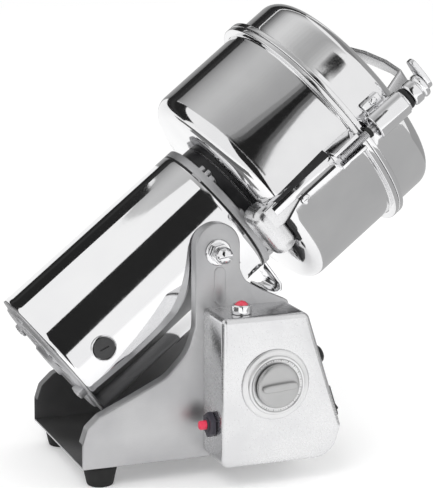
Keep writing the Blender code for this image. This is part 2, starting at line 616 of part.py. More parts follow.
sleeve = turned(
    "clamp_sleeve",
    [(9.4, 218.2), (11.5, 218.2), (11.5, 215.8), (12.4, 215.8), (13, 215.2), (13, 180.3), (12.4, 179.7), (9.4, 179.7)],
    lid_axis, (ROD_X, ROD_Y - HINGE_Y, -HINGE_S), kind="polished", steps=18,
)
plate = from_bm("sleeve_plate", block(-25, 11, -119.5, -104, 184, 205, 1.0, 1), lid_axis, LID_AT)
join(sleeve, plate)
cut(sleeve, lid_seat, rod("sleeve_bore", 9.4, 170, 222, lid_axis, (ROD_X, ROD_Y - HINGE_Y, -HINGE_S)))
sleeve_screw = turned(
    "sleeve_screw", [(0, 3.2), (2.8, 2.9), (4.2, 1.6), (4.2, FIT), (1.6, FIT), (1.6, -2.2), (0, -2.2)],
    lid_axis, (-21, -119.5 - HINGE_Y, 196 - HINGE_S), NEAR_TURN, "polished", 20,
)
cut(sleeve, rod("sleeve_screw_hole", 1.6 + BORE, -3.4, 3, lid_axis, (-21, -119.5 - HINGE_Y, 196 - HINGE_S), NEAR_TURN))

# ---------------------------------------------------------------- lid clamp
lift = axis_point("clamp_lift", (ROD_X, ROD_Y - HINGE_Y, -HINGE_S), (0, 0, 0), lid_axis)
turned(
    "clamp_collar", [(ROD_R + BORE, 223.2), (9.4, 223.2), (10.6, 222.2), (10.8, 219.2), (10.8, 218.5), (ROD_R + BORE, 218.5)],
    lift, kind="black", steps=18,
)
clamp_rod = turned(
    "clamp_rod", [(0, 236), (ROD_R, 236), (ROD_R, 138.5), (2.6, 137), (0, 137)], lift, kind="steel", steps=18,
)
hub = turned(
    "clamp_knob",
    [(0, 242.0), (10.6, 242.0), (12, 240.6), (12, 236.6), (11, 235.8), (11, 234.2), (12, 233.4), (12, 225), (10.8, 223.5),
     (ROD_R + BORE, 223.5), (ROD_R + BORE, 236.3), (0, 236.3)],
    lift, kind="polished", steps=18,
)
from_bm(
    "clamp_lever",
    prism(rounded([(-30, -6, 5.8), (-30, 6, 5.8), (-8, 10, 6), (9, 10, 8), (9, -10, 8), (-8, -10, 6)]), 242.3, 247.4, "XY"),
    lift, kind="polished",
)
ring("rod_grommet", ROD_R + BORE, 5.4, 171.0, 174.9, lift, kind="rubber", steps=20)

tilt_path = [(60, 39.8), (94, 38.6), (98.6, 36.8), (100.4, 33.6), (98.8, 29.0), (95.4, 25.4), (90.6, 23.6)]
tilt_handle = from_bm("tilt_handle", prism(strip(tilt_path, 3.4), -22, 22), head, kind="polished")
cut(tilt_handle, flange_seat)

# ---------------------------------------------------------------- stand the object on its own origin
bpy.context.view_layer.update()
graph = bpy.context.evaluated_depsgraph_get()
low = Vector((1e9, 1e9, 1e9))
high = -low
for obj in body.objects:
    if obj.type != "MESH":
        continue
    made = obj.evaluated_get(graph)
    for corner in made.data.vertices:
        place = made.matrix_world @ corner.co
        low = Vector(map(min, low, place))
        high = Vector(map(max, high, place))
frame.location = Vector((-(low.x + high.x) / 2, -(low.y + high.y) / 2, -low.z))
bpy.context.view_layer.update()
for empty in (obj for obj in body.objects if obj.type == "EMPTY"):
    print("axis", empty.name, [round(v, 6) for v in empty.matrix_world.translation])
print("size", [round(v, 5) for v in high - low], "shift", [round(v, 6) for v in frame.location])
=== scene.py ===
"""Looks for a swing-type hammer mill: a tilting motor and grinding bowl on a sheet steel bracket."""
import math

import bmesh
import bpy
from mathutils import Matrix, Vector


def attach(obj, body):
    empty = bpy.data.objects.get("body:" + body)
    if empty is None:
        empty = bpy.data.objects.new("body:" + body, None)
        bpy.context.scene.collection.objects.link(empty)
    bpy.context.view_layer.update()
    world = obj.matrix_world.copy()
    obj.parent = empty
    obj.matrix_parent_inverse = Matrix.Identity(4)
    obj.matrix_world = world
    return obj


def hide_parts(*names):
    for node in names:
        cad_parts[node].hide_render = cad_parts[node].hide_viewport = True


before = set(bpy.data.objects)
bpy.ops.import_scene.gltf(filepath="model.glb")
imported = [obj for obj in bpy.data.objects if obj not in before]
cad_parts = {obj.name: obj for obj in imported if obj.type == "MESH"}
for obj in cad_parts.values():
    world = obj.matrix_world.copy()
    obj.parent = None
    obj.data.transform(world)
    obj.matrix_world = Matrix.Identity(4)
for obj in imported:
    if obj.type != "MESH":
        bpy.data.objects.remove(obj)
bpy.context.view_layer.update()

MM = 0.001
TILT = math.radians(51.4)                            # how far the head leans forward at rest
SHIFT = Vector((-19.111, 8.525, 21.0))               # the bracket's own origin, seen from the model's
PIVOT_AT = (-9.0, 0.0, 197.0)                        # in the bracket's own frame, as all base shapes are
PIVOT = Vector(PIVOT_AT) + SHIFT
BASE = Matrix.Translation(SHIFT)
HEAD = Matrix.Translation(PIVOT) @ Matrix.Rotation(TILT, 4, "Y")
NEAR = Matrix.Rotation(math.radians(90), 4, "X")     # a piece's own +Z to the near side
FAR = Matrix.Rotation(math.radians(-90), 4, "X")

BOWL_R, LID_R = 114.1, 114.7
BOWL_IN = 112.5                                      # inside radius of bowl and lid
BOWL_SEAT, LID_SEAT, TUBE_SEAT = 114.4, 115.0, 71.6  # radii that pieces seated on them are cut to
BASE_Y = 86.15                                       # half the width over the two arms
SHEET = 2.0
ARM_DEPTH = 12.5                                     # depth of the arms' turned-in edges
BORE_5 = 5.25                                        # bore round a shaft or bolt of radius 5
BRUSH_S = -137.0                                     # height of the brushes along the head
ROD = Vector((-4.0, -127.5, 0.0))                    # the clamp's rod
HINGE = Vector((0.0, 129.0, 168.15))                 # the lid's hinge pin


def at(*place):
    return Matrix.Translation(Vector(place))


def spun(axis, degrees):
    return Matrix.Rotation(math.radians(degrees), 4, axis)


HERE = Matrix()


# ------------------------------------------------------------------ finishes
def new_material(name):
    mat = bpy.data.materials.new(name)
    mat.use_nodes = True
    tree = mat.node_tree
    shader = tree.nodes["Principled BSDF"]
    coords = tree.nodes.new("ShaderNodeTexCoord")
    return mat, tree, shader, coords.outputs["Object"]


def noise(tree, coords, scale, detail=3.0, stretch=(1, 1, 1), turn=(0, 0, 0), rough=0.55):
    mapping = tree.nodes.new("ShaderNodeMapping")
    mapping.inputs["Scale"].default_value = stretch
    mapping.inputs["Rotation"].default_value = turn
    tree.links.new(coords, mapping.inputs["Vector"])
    tex = tree.nodes.new("ShaderNodeTexNoise")
    tex.inputs["Scale"].default_value = scale
    tex.inputs["Detail"].default_value = detail
    tex.inputs["Roughness"].default_value = rough
    tree.links.new(mapping.outputs["Vector"], tex.inputs["Vector"])
    return tex.outputs["Fac"]


def ramp(tree, value, low, high, first, last):
    """Values from low to high turned into the range first to last."""
    node = tree.nodes.new("ShaderNodeMapRange")
    node.inputs["From Min"].default_value = low
    node.inputs["From Max"].default_value = high
    node.inputs["To Min"].default_value = first
    node.inputs["To Max"].default_value = last
    tree.links.new(value, node.inputs["Value"])
    return node.outputs["Result"]


def blend(tree, value, first, last):
    mix = tree.nodes.new("ShaderNodeMix")
    mix.data_type = "RGBA"
    mix.inputs[6].default_value = (*first, 1)
    mix.inputs[7].default_value = (*last, 1)
    tree.links.new(value, mix.inputs[0])
    return mix.outputs[2]


def bump(tree, shader, height, strength, distance):
    node = tree.nodes.new("ShaderNodeBump")
    node.inputs["Strength"].default_value = strength
    node.inputs["Distance"].default_value = distance
    tree.links.new(height, node.inputs["Height"])
    tree.links.new(node.outputs["Normal"], shader.inputs["Normal"])


def metal(name, light, dark, rough, spread, grain=900.0, stretch=(1, 1, 1), turn=(0, 0, 0), depth=0.02):
    """A bare metal whose colour, roughness and surface all follow its grain and a broad soft smudging."""
    mat, tree, shader, coords = new_material(name)
    shader.inputs["Metallic"].default_value = 1.0
    fine = noise(tree, coords, grain, 4.0, stretch, turn)
    broad = noise(tree, coords, 14.0, 3.0)
    tree.links.new(blend(tree, ramp(tree, broad, 0.35, 0.68, 0, 1), dark, light), shader.inputs["Base Color"])
    add = tree.nodes.new("ShaderNodeMath")
    add.operation = "ADD"
    tree.links.new(ramp(tree, fine, 0.3, 0.7, rough, rough + spread), add.inputs[0])
    tree.links.new(ramp(tree, broad, 0.3, 0.7, 0.0, spread * 0.7), add.inputs[1])
    tree.links.new(add.outputs[0], shader.inputs["Roughness"])
    bump(tree, shader, fine, depth, 0.0002)
    return mat


def plastic(name, light, dark, rough, spread, grain=1400.0, depth=0.15, sheen=0.5):
    mat, tree, shader, coords = new_material(name)
    shader.inputs["Specular IOR Level"].default_value = sheen
    fine = noise(tree, coords, grain, 2.0)
    broad = noise(tree, coords, 40.0, 3.0)
    tree.links.new(blend(tree, ramp(tree, broad, 0.35, 0.7, 0, 1), dark, light), shader.inputs["Base Color"])
    tree.links.new(ramp(tree, broad, 0.3, 0.7, rough, rough + spread), shader.inputs["Roughness"])
    bump(tree, shader, fine, depth, 0.0001)
    return mat


ALONG_HEAD = (0, -TILT, 0)
MIRROR = metal("mirror_steel", (0.87, 0.87, 0.875), (0.83, 0.83, 0.84), 0.025, 0.03, 300, (1, 1, 1),
    depth=0.004)
POLISHED = metal("polished_steel", (0.82, 0.82, 0.825), (0.75, 0.75, 0.76), 0.045, 0.03, 420, (0.06, 1, 1),
    ALONG_HEAD, 0.02)
BUFFED = metal("buffed_steel", (0.76, 0.76, 0.765), (0.66, 0.66, 0.67), 0.17, 0.10, 700, depth=0.04)
SATIN = metal("satin_sheet", (0.56, 0.56, 0.565), (0.45, 0.45, 0.46), 0.28, 0.12, 1100, (0.3, 1, 1),
    depth=0.10)
# A darker copy of the satin sheet, put on the bracket's inward faces as painted shade.
PAINTED_SHADE_SHEET = metal("sheet_painted_shade", (0.27, 0.27, 0.272), (0.20, 0.20, 0.203), 0.34, 0.12, 900, (0.3, 1, 1),
    depth=0.10)
CHROME = metal("chrome", (0.86, 0.86, 0.87), (0.78, 0.78, 0.79), 0.05, 0.05, 500, depth=0.01)
CAST = metal("cast_alloy", (0.64, 0.64, 0.65), (0.50, 0.50, 0.51), 0.38, 0.16, 1600, depth=0.18)
STEEL = metal("turned_steel", (0.60, 0.60, 0.61), (0.45, 0.45, 0.46), 0.22, 0.12, 1200, (1, 1, 6), depth=0.06)
DARK_IRON = metal("laminated_iron", (0.16, 0.15, 0.15), (0.09, 0.085, 0.085), 0.45, 0.2, 900, (0.2, 1, 1),
    ALONG_HEAD, 0.15)
COPPER = metal("copper_bars", (0.78, 0.42, 0.24), (0.60, 0.28, 0.15), 0.25, 0.15, 900, depth=0.05)
SILVER = metal("dial_silver", (0.80, 0.80, 0.80), (0.70, 0.70, 0.705), 0.30, 0.10, 1500, depth=0.05)
KNOB = metal("knob_silver", (0.50, 0.50, 0.50), (0.41, 0.41, 0.41), 0.32, 0.08, 1000, (0.08, 1, 1),
    depth=0.06)
BLACK = plastic("black_plastic", (0.020, 0.020, 0.021), (0.010, 0.010, 0.011), 0.30, 0.16, sheen=0.3)
NUT_BLACK = plastic("nut_black", (0.045, 0.04, 0.055), (0.022, 0.02, 0.03), 0.35, 0.2)
BRUSH_CAP = plastic("cap_black", (0.055, 0.055, 0.056), (0.035, 0.035, 0.036), 0.5, 0.15, 1800, 0.3, 0.35)
RUBBER = plastic("foot_rubber", (0.03, 0.03, 0.03), (0.016, 0.016, 0.016), 0.7, 0.15, 700, 0.5, 0.3)
RED = plastic("red_button", (0.85, 0.05, 0.11), (0.72, 0.03, 0.08), 0.22, 0.1, 600, 0.05)
MARK = plastic("dial_mark", (0.10, 0.10, 0.10), (0.06, 0.06, 0.06), 0.5, 0.1)
LENS, tree, shader, coords = new_material("lamp_lens_red")
tree.links.new(blend(tree, noise(tree, coords, 180.0), (0.72, 0.02, 0.06), (0.95, 0.10, 0.16)),
    shader.inputs["Base Color"])
tree.links.new(ramp(tree, noise(tree, coords, 60.0), 0.3, 0.7, 0.06, 0.16), shader.inputs["Roughness"])
shader.inputs["Transmission Weight"].default_value = 0.25
shader.inputs["Coat Weight"].default_value = 0.6
bump(tree, shader, noise(tree, coords, 500.0), 0.08, 0.0003)


# ------------------------------------------------------------------ shaping helpers
def arc(cx, cy, radius, start, end, count=10):
    turns = [math.radians(start + (end - start) * k / count) for k in range(count + 1)]
    return [(cx + radius * math.cos(t), cy + radius * math.sin(t)) for t in turns]


def lathe(profile, steps=96, soft=0.4, segments=2, angle=28):
    """A profile of (radius, height) spun about Z, with its sharp edges softened."""
    bm = bmesh.new()
    points = [bm.verts.new((r, 0, h)) for r, h in profile]
    for here, there in zip(points, points[1:]):
        if here.co.x > 0 or there.co.x > 0:
            bm.edges.new((here, there))
    if profile[0][0] > 0 or profile[-1][0] > 0:
        bm.edges.new((points[-1], points[0]))
    bmesh.ops.spin(
        bm, geom=bm.verts[:] + bm.edges[:], axis=(0, 0, 1), cent=(0, 0, 0), angle=math.tau, steps=steps,
        use_merge=True
    )
    bmesh.ops.remove_doubles(bm, verts=bm.verts, dist=0.001)
    bmesh.ops.dissolve_degenerate(bm, edges=bm.edges, dist=0.0005)
    bmesh.ops.recalc_face_normals(bm, faces=bm.faces)
    if soft:
        soften(bm, soft, segments, angle)
    return bm


def cylinder(radius, low, high):
    """The profile of a plain cylinder, for lathe."""
    return [(0, high), (radius, high), (radius, low), (0, low)]


def soften(bm, offset, segments=2, angle=28):
    sharp = [e for e in bm.edges if len(e.link_faces) == 2 and e.calc_face_angle(0) > math.radians(angle)]
    bmesh.ops.bevel(
        bm, geom=sharp, offset=offset, offset_type="OFFSET", segments=segments, profile=0.5,
        affect="EDGES", clamp_overlap=True, material=-1,
    )


def block(x0, x1, y0, y1, z0, z1, soft=0.0, segments=3):
    bm = bmesh.new()
    bmesh.ops.create_cube(bm, size=1.0)
    bmesh.ops.scale(bm, vec=(x1 - x0, y1 - y0, z1 - z0), verts=bm.verts)
    bmesh.ops.translate(bm, vec=((x0 + x1) / 2, (y0 + y1) / 2, (z0 + z1) / 2), verts=bm.verts)
    if soft:
        soften(bm, soft, segments)
    return bm


def slab(outline, low, high, plane="XZ", soft=0.0, segments=2, angle=28):
    """A flat outline pushed to a thickness along the axis its plane leaves out."""
    lay = {
        "XZ": lambda u, v, w: (u, w, v),
        "XY": lambda u, v, w: (u, v, w),
        "YZ": lambda u, v, w: (w, u, v),
    }[plane]
    bm = bmesh.new()
    face = bm.faces.new([bm.verts.new(lay(u, v, low)) for u, v in outline])
    grown = bmesh.ops.extrude_face_region(bm, geom=[face])
    moved = [item for item in grown["geom"] if isinstance(item, bmesh.types.BMVert)]
    bmesh.ops.translate(bm, vec=Vector(lay(0, 0, high - low)), verts=moved)
    bmesh.ops.recalc_face_normals(bm, faces=bm.faces)
    if soft:
        soften(bm, soft, segments, angle)
    return bm


def rounded(corners, count=8):
    """An outline whose corners (u, v, radius) are rounded."""
    out = []
    for k, (u, v, radius) in enumerate(corners):
        here = Vector((u, v))
        if not radius:
            out.append((u, v))
            continue
        back = (Vector(corners[k - 1][:2]) - here).normalized()
        ahead = (Vector(corners[(k + 1) % len(corners)][:2]) - here).normalized()
        half = back.angle(ahead) / 2
        if half > 1.5:
            out.append((u, v))
            continue
        centre = here + (back + ahead).normalized() * radius / math.sin(half)
        first = here + back * radius / math.tan(half) - centre
        last = here + ahead * radius / math.tan(half) - centre
        sweep = first.angle_signed(last)
        for j in range(count + 1):
            out.append(tuple(centre + Matrix.Rotation(-sweep * j / count, 2) @ first))
    return out


def strip(path, thick):
    """The outline of a bent strip whose middle line follows the path."""
    line = [Vector(p) for p in path]
    left, right = [], []
    for k, here in enumerate(line):
        back = (here - line[k - 1]).normalized() if k else None
        ahead = (line[k + 1] - here).normalized() if k < len(line) - 1 else None
        along = ((back or ahead) + (ahead or back)).normalized()
        side = Vector((-along.y, along.x))
        stretch = 1 / max(along.dot(ahead or back), 0.5)
        left.append(tuple(here + side * thick / 2 * stretch))
        right.append(tuple(here - side * thick / 2 * stretch))
    return left + right[::-1]


def bent(path, radius, count=6):
    """An open path whose inner corners are rounded."""
    ends = [(u, v, radius) for u, v in path]
    ends[0] = (*path[0], 0)
    ends[-1] = (*path[-1], 0)
    return rounded(ends, count)


def cross(reach, half, low, high):
    """The two bars of a cross-head driver."""
    return (block(-reach, reach, -half, half, low, high), block(-half, half, -reach, reach, low, high))


def hexagon(across):
    radius = across / math.sqrt(3)
    return [(radius * math.cos(k * math.pi / 3), radius * math.sin(k * math.pi / 3)) for k in range(6)]


def gather(*parts):
    """Several bmeshes, each with its own place, as one."""
    whole = bmesh.new()
    for bm, place in parts:
        bm.transform(place)
        spare = bpy.data.meshes.new("spare")
        bm.to_mesh(spare)
        bm.free()
        whole.from_mesh(spare)
        bpy.data.meshes.remove(spare)
    return whole


def make(name, bm, place, material, body, stands_for=(), angle=35):
    """Puts a bmesh in millimetres into the world as a finished piece on its body."""
    bm.transform(Matrix.Scale(MM, 4) @ place)
    mesh = bpy.data.meshes.new(name)
    bm.to_mesh(mesh)
    bm.free()
    mesh.shade_smooth()
    mesh.set_sharp_from_angle(angle=math.radians(angle))
    obj = bpy.data.objects.new(name, mesh)
    bpy.context.scene.collection.objects.link(obj)
    mesh.materials.append(material)
    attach(obj, body)
    if stands_for:
        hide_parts(*stands_for)
    return obj


def cut(obj, *tools):
    """Takes each tool's shape out of a piece, and leaves nothing live."""
    for tool, place in tools:
        tool.transform(Matrix.Scale(MM, 4) @ place)
        mesh = bpy.data.meshes.new("tool")
        tool.to_mesh(mesh)
        tool.free()
        other = bpy.data.objects.new("tool", mesh)
        bpy.context.scene.collection.objects.link(other)
        mod = obj.modifiers.new("Cut", "BOOLEAN")
        mod.operation = "DIFFERENCE"
        mod.solver = "EXACT"
        mod.object = other
        bpy.context.view_layer.update()
        graph = bpy.context.evaluated_depsgraph_get()
        made = bpy.data.meshes.new_from_object(obj.evaluated_get(graph))
        obj.modifiers.remove(mod)
        obj.data = made
        made.shade_smooth()
        made.set_sharp_from_angle(angle=math.radians(35))
        bpy.data.objects.remove(other, do_unlink=True)


# ------------------------------------------------------------------ motor
housing = lathe(
    [(69, 33.7), (71, 33.7), (71, 30), (71, -166.5), (71.35, -167.6), (71.35, -170.6), (71, -172.4),
     (69, -172.4)],
    160, soft=0.35,
)
make("tube_shell", housing, HEAD, MIRROR, "head", ("motor_housing",))

cover = lathe(
    [(11.25, -160), (15, -160), (15, -172.7), (64, -172.7), (64, -168), (68.7, -168), (68.7, -172.7),
     (70.7, -172.7), (70.7, -174.2), (66, -174.6), (63.5, -175.4), (62.3, -177.0), (59.5, -177.6),
     (20, -177.8), (17, -181.2), (8, -181.6), (8, -178), (11.25, -178)],
    96, soft=0.4,
)
cover = make("tail_cover", cover, HEAD, CAST, "head", ("motor_end_cover",))
vents = gather(*[(block(22, 55, -2.4, 2.4, -192, -160, 1.0, 2), spun("Z", 15 * k + 7.5)) for k in range(24)])
cut(cover, (vents, HEAD))
grille = gather(*[
    (lathe([(r, -170.4), (r + 1.6, -170.4), (r + 1.6, -172.2), (r, -172.2)], 72, soft=0.2), HERE)
    for r in (26, 34, 42, 50)
])
make("tail_grille", grille, HEAD, BLACK, "head")
lugs = []
for degrees, low in ((-68, -183.2), (-158, -177.9), (22, -177.9), (112, -180.4)):
    foot = block(53, 64.4, -5.5, 5.5, low, -174, 1.8, 3)
    bore = lathe(
        [(2.0, low + 2.6), (3.6, low + 2.6), (3.6, low - 0.5), (0, low - 0.5), (0, low + 0.7), (2.0, low + 0.7)],
        20, soft=0.2,
    )
    lugs.append((foot, spun("Z", degrees)))
    lugs.append((bore, spun("Z", degrees) @ at(59.0, 0, 0)))
make("tail_lugs", gather(*lugs), HEAD, CAST, "head")

flange = lathe(
    [(52, 57.4), (60, 57.4), (60, 45.2), (61.2, 43.8), (70.2, 43.8), (71, 43.0), (71, 36.4), (70.4, 35.8),
     (68.4, 35.8), (68.4, 26), (64, 26), (64, 38), (18, 38), (18, 29), (11.3, 29), (11.3, 40.5), (7, 40.5),
     (7, 46), (52, 46)],
    128, soft=0.3,
)
make("bowl_flange", flange, HEAD, CAST, "head", ("motor_flange",))
webs = []
for degrees, low, high, half in (
    (-140, 33.9, 37, 6.5), (-43.5, 42, 50.4, 6.5), (-131, 42, 46.6, 3.0), (-137, 42, 48.6, 2.2),
    (-143, 42, 47.6, 2.4), (43.5, 42, 50.4, 6.5), (137, 42, 50.4, 6.5), (-95, 42, 46, 4), (0, 42, 46, 4),
    (90, 42, 46, 4),
):
    webs.append((block(58, 70.9, -half, half, low, high, 0.7, 2), spun("Z", degrees)))
make("flange_webs", gather(*webs), HEAD, CAST, "head")
# A thin black sleeve over the flange's neck, as painted shade in the dark zone under the bowl.
neck = lathe([(52.6, 57.0), (60.9, 57.0), (60.9, 44.6), (60.1, 44.6), (60.1, 56.4), (52.6, 56.4)], 96,
    soft=0.2)
make("neck_shade_band", neck, HEAD, BLACK, "head")
gasket = lathe([(69.2, 33.9), (70.9, 33.9), (70.9, 35.9), (69.2, 35.9)], 128, soft=0.3)
make("neck_gasket", gasket, HEAD, BLACK, "head")

for side, turn in (("near", NEAR), ("far", FAR)):
    seat = HEAD @ at(0, 0, BRUSH_S) @ turn
    ring = lathe(
        [(10.9, 71.9), (11.6, 72.6), (12.3, 72.2), (12.5, 71.3), (12.5, 70.2), (10.9, 70.2)], 64, soft=0.15
    )
    make(f"cap_ring_{side}", ring, seat, CHROME, "head")
    cap = lathe(
        [(0, 73.3), (8.8, 73.3), (10.1, 73.0), (10.6, 72.4), (10.6, 71.3), (9, 71.3), (9, 26), (5.3, 26),
         (5.3, 66), (0, 66)],
        56, soft=0.25,
    )
    cap = make(f"cap_{side}", cap, seat, BRUSH_CAP, "head", (f"brush_cap_{side}",))
    cut(cap, (block(-4.6, 4.6, -0.8, 0.8, 72.0, 80, 0.2, 1), seat @ spun("Z", 75)))

# ------------------------------------------------------------------ pivot
for side, turn in (("near", NEAR), ("far", FAR)):
    seat = BASE @ at(*PIVOT_AT) @ turn
    bolt = lathe(
        [(0, 110.2), (3.2, 109.7), (5.6, 108.4), (7.3, 106.0), (8, 103), (8, 98.4), (7.4, 97.7), (5, 97.7),
         (5, 65), (0, 65)],
        56, soft=0.25,
    )
    bolt = make(f"bolt_{side}", bolt, HEAD @ turn, CHROME, "head", (f"pivot_bolt_{side}",))
    cut(bolt, (block(-9, 9, -0.9, 0.9, 107.0, 120, 0.2, 1), HEAD @ turn @ spun("Z", 60)))
    washer = lathe([(5.25, 88.6), (11.6, 88.6), (12.5, 87.8), (12.5, 86.45), (5.25, 86.45)], 64, soft=0.25)
    nut = slab(hexagon(17), 88.4, 96.6, "XY", 0.5, 2)
    make(f"pivot_washer_{side}", washer, seat, CHROME, "base")
    shaft = lathe([(5.25, 96.75), (7.6, 96.75), (8.3, 96.2), (8.3, 95), (5.25, 95)], 48, soft=0.2)
    nut = make(f"pivot_nut_hex_{side}", gather((nut, spun("Z", 12)), (shaft, HERE)), seat, CHROME, "base",
        (f"pivot_nut_{side}",))
    cut(nut, (lathe(cylinder(5.2, 80, 120), 40, soft=0), seat))

# ------------------------------------------------------------------ bowl and lid


def corner(radius, height, size, count=10):
    return arc(radius - size, height + size, size, 0, -90, count)


bowl = lathe(
    [(BOWL_IN, 168.0)] + arc(121.0, 166.9, 1.1, 90, 0, 4) + arc(120.9, 163.9, 1.2, 0, -90, 4)
    + [(115.6, 162.7), (114.5, 161.9), (114.4, 159.6), (BOWL_R, 77.0)] + corner(BOWL_R, 57.7, 16.3)
    + [(97, 57.5), (62, 57.7)] + [(12.3, 57.7), (12.3, 59.3)] + corner(BOWL_IN, 59.3, 14.7)[::-1],
    192, soft=0.2, angle=40,
)
make("bowl_shell", bowl, HEAD, POLISHED, "head", ("bowl",), angle=30)
lid = lathe(
    [(0, 220.7), (60, 220.7)] + arc(LID_R - 15.6, 204.7, 15.6, 86, 0, 12)
    + [(LID_R, 202.0), (LID_R, 179.5), (LID_R, 178), (115.2, 174.6), (116.2, 173.6)]
    + arc(120.9, 172.4, 1.2, 90, 0, 4) + arc(121.0, 169.4, 1.1, 0, -90, 4)
    + [(BOWL_IN, 168.3)] + arc(LID_R - 15.0, 205.3, 12.8, 0, 90, 8) + [(0, 218.1)],
    192, soft=0.2, angle=40,
)
make("lid_shell", lid, HEAD, POLISHED, "lid", ("lid",), angle=30)

LEG = math.radians(10)
flat = bent([
    (-80, 222.7), (-65.2, 222.7), (-52.2, 254.6), (-20, 258.2), (20, 258.2), (52.2, 254.6), (65.2, 222.7),
    (80, 222.7),
], 4.0, 6)
strap = slab(strip(flat, 4.2), -8.2, 8.2, "YZ", 1.3, 4, 50)
make("handle_strap", strap, HEAD @ Matrix.Rotation(LEG, 4, "Z"), BUFFED, "lid", ("lid_handle",))
studs = gather(*[
    (lathe([(0, 227.1), (2.6, 226.8), (4.2, 225.6), (4.2, 224.4), (0, 224.4)], 28, soft=0.2),
     Matrix.Rotation(LEG, 4, "Z") @ at(0, y, 0))
    for y in (-73.5, 73.5)
])
make("handle_rivets", studs, HEAD, CHROME, "lid")

# ------------------------------------------------------------------ guard, latch and hinge
seat_profile = [(0, 160), (BOWL_SEAT, 160)] + corner(BOWL_SEAT, 57.4, 16.3) + [(0, 57.4)]
rim_tool = cylinder(BOWL_SEAT, 100, 170)
lid_tool = cylinder(LID_SEAT, 120, 230)
tube_tool = cylinder(TUBE_SEAT, 20, 60)
shoe = block(-15.2, 35.0, -121.2, -84, 36.8, 62.4, 10.5, 10)
shoe = make("guard_shoe", shoe, HEAD, BUFFED, "head", ("switch_guard",), angle=50)
cut(shoe, (lathe(seat_profile, 160, soft=0), HEAD), (lathe(tube_tool, 96, soft=0), HEAD))
flare = slab(
    [(-13.4, 64), (-6, 72), (-1.5, 84), (1.2, 84), (4, 76), (9.4, 60), (8, 50), (-13.4, 50)],
    -121.4, -103, "XZ", 2.0, 4,
)
flare = make("guard_flare", flare, HEAD, BUFFED, "head", angle=50)
cut(flare, (lathe(seat_profile, 160, soft=0), HEAD))
# The guard's left flank is black as a painted dark reflection and shadow along that side.
flank = slab(
    [(-17.4, -111), (-16.6, -113.0), (-11.8, -121.9), (-10.8, -121.4), (-14.4, -111)],
    60, 131.2, "XY", 0.2, 1,
)
for vert in flank.verts:
    if vert.co.x < -14:
        vert.co.x += 3.4 * (131.2 - vert.co.z) / 71
flank = make("guard_shade_flank", flank, HEAD, BLACK, "head")
cut(flank, (lathe(seat_profile, 160, soft=0), HEAD))
channel = slab(
    rounded([(-14.2, -112.0, 0), (-11.0, -121.2, 1.0), (-7.5, -123.2, 4), (-2.5, -122.8, 5), (1.4, -118.5, 3),
             (1.8, -112.0, 0)], 6),
    58, 131.4, "XY", 0.6, 2, 60,
)
channel = make("guard_channel", channel, HEAD, CHROME, "head")
cut(channel, (lathe(seat_profile, 160, soft=0), HEAD))
# A black strip along the guard's right edge and down its crease, as a painted shadow line.
seam_path = [(2.2, 131), (2.2, 85), (5.4, 76), (10.6, 63.0), (27, 63.6), (34, 62.4)]
seam = slab(strip(bent(seam_path, 5.0, 5), 3.4), -117.9, -104, "XZ", 0.5, 2, 50)
seam = make("guard_seam_shadow", seam, HEAD, BLACK, "head")
cut(seam, (lathe(seat_profile, 160, soft=0), HEAD))

pan = lathe(
    [(0, 3.6), (2.4, 3.45), (4.2, 2.7), (5.2, 1.4), (5.3, 0.3), (2, 0.3), (2, -6), (0, -6)], 40, soft=0.15
)
screw_at = HEAD @ at(0, 0, 90.2) @ spun("Z", 3.8) @ NEAR @ at(0, 0, BOWL_R)
pan = make("guard_pan_screw", pan, screw_at, CHROME, "head", ("guard_screw",))
cut(pan, *[(bar, screw_at) for bar in cross(3, 0.55, 2.3, 6)])

cradle = block(ROD.x - 9.5, ROD.x + 9.5, -132.4, -108, 132.2, 162.3, 1.2, 3)
cradle = make("latch_cradle", cradle, HEAD, CHROME, "head", ("latch_bracket",))
cut(
    cradle, (lathe(rim_tool, 160, soft=0), HEAD),
    (block(ROD.x - 5.8, ROD.x + 5.8, -140, -121.4, 120, 180), HEAD),
)

pin = lathe([(0, 19), (1.9, 19), (2.5, 18.4), (2.5, -18.4), (1.9, -19), (0, -19)], 32, soft=0)
make("pin_rod", pin, HEAD @ at(*HINGE) @ spun("Y", 90), STEEL, "head", ("hinge_pin",))
lower = slab(
    [(108, 138.4), (117.6, 138.4), (119.4, 139.4), (133.4, 157.6), (134, 159.2), (134, HINGE.z),
     (124, HINGE.z), (123.6, 162.2), (108, 162.2)],
    -17.8, 17.8, "YZ", 0.7, 2,
)
leaf = make("hinge_leaf_lower", lower, HEAD, CHROME, "head", ("lid_hinge_lower",))
cut(leaf, (lathe(rim_tool, 160, soft=0), HEAD), (block(-6.3, 6.3, 122.6, 145, 150, 190), HEAD),
    (lathe(cylinder(5.5, -30, 30), 48, soft=0), HEAD @ at(*HINGE) @ spun("Y", 90)))
for name, x0, x1 in (("a", -17.8, -6.3), ("b", 6.3, 17.8)):
    knuckle = lathe([(2.7, x1), (5.0, x1), (5.0, x0), (2.7, x0)], 48, soft=0.3)
    make(f"hinge_knuckle_{name}", knuckle, HEAD @ at(*HINGE) @ spun("Y", 90), CHROME, "head")
rise = slab(
    [(108, 174.0), (123.4, 174.0), (124.4, 170), (129, 172.6), (133.6, 171), (134, 175.8), (119.6, 195.2),
     (117.8, 196), (108, 196)],
    -5.9, 5.9, "YZ", 0.5, 2,
)
leaf = make("hinge_leaf_upper", rise, HEAD, CHROME, "lid", ("lid_hinge_upper",))
cut(leaf, (lathe(lid_tool, 160, soft=0), HEAD))
knuckle = lathe([(2.7, 5.9), (5.0, 5.9), (5.0, -5.9), (2.7, -5.9)], 48, soft=0.3)
make("hinge_knuckle_c", knuckle, HEAD @ at(*HINGE) @ spun("Y", 90), CHROME, "lid")

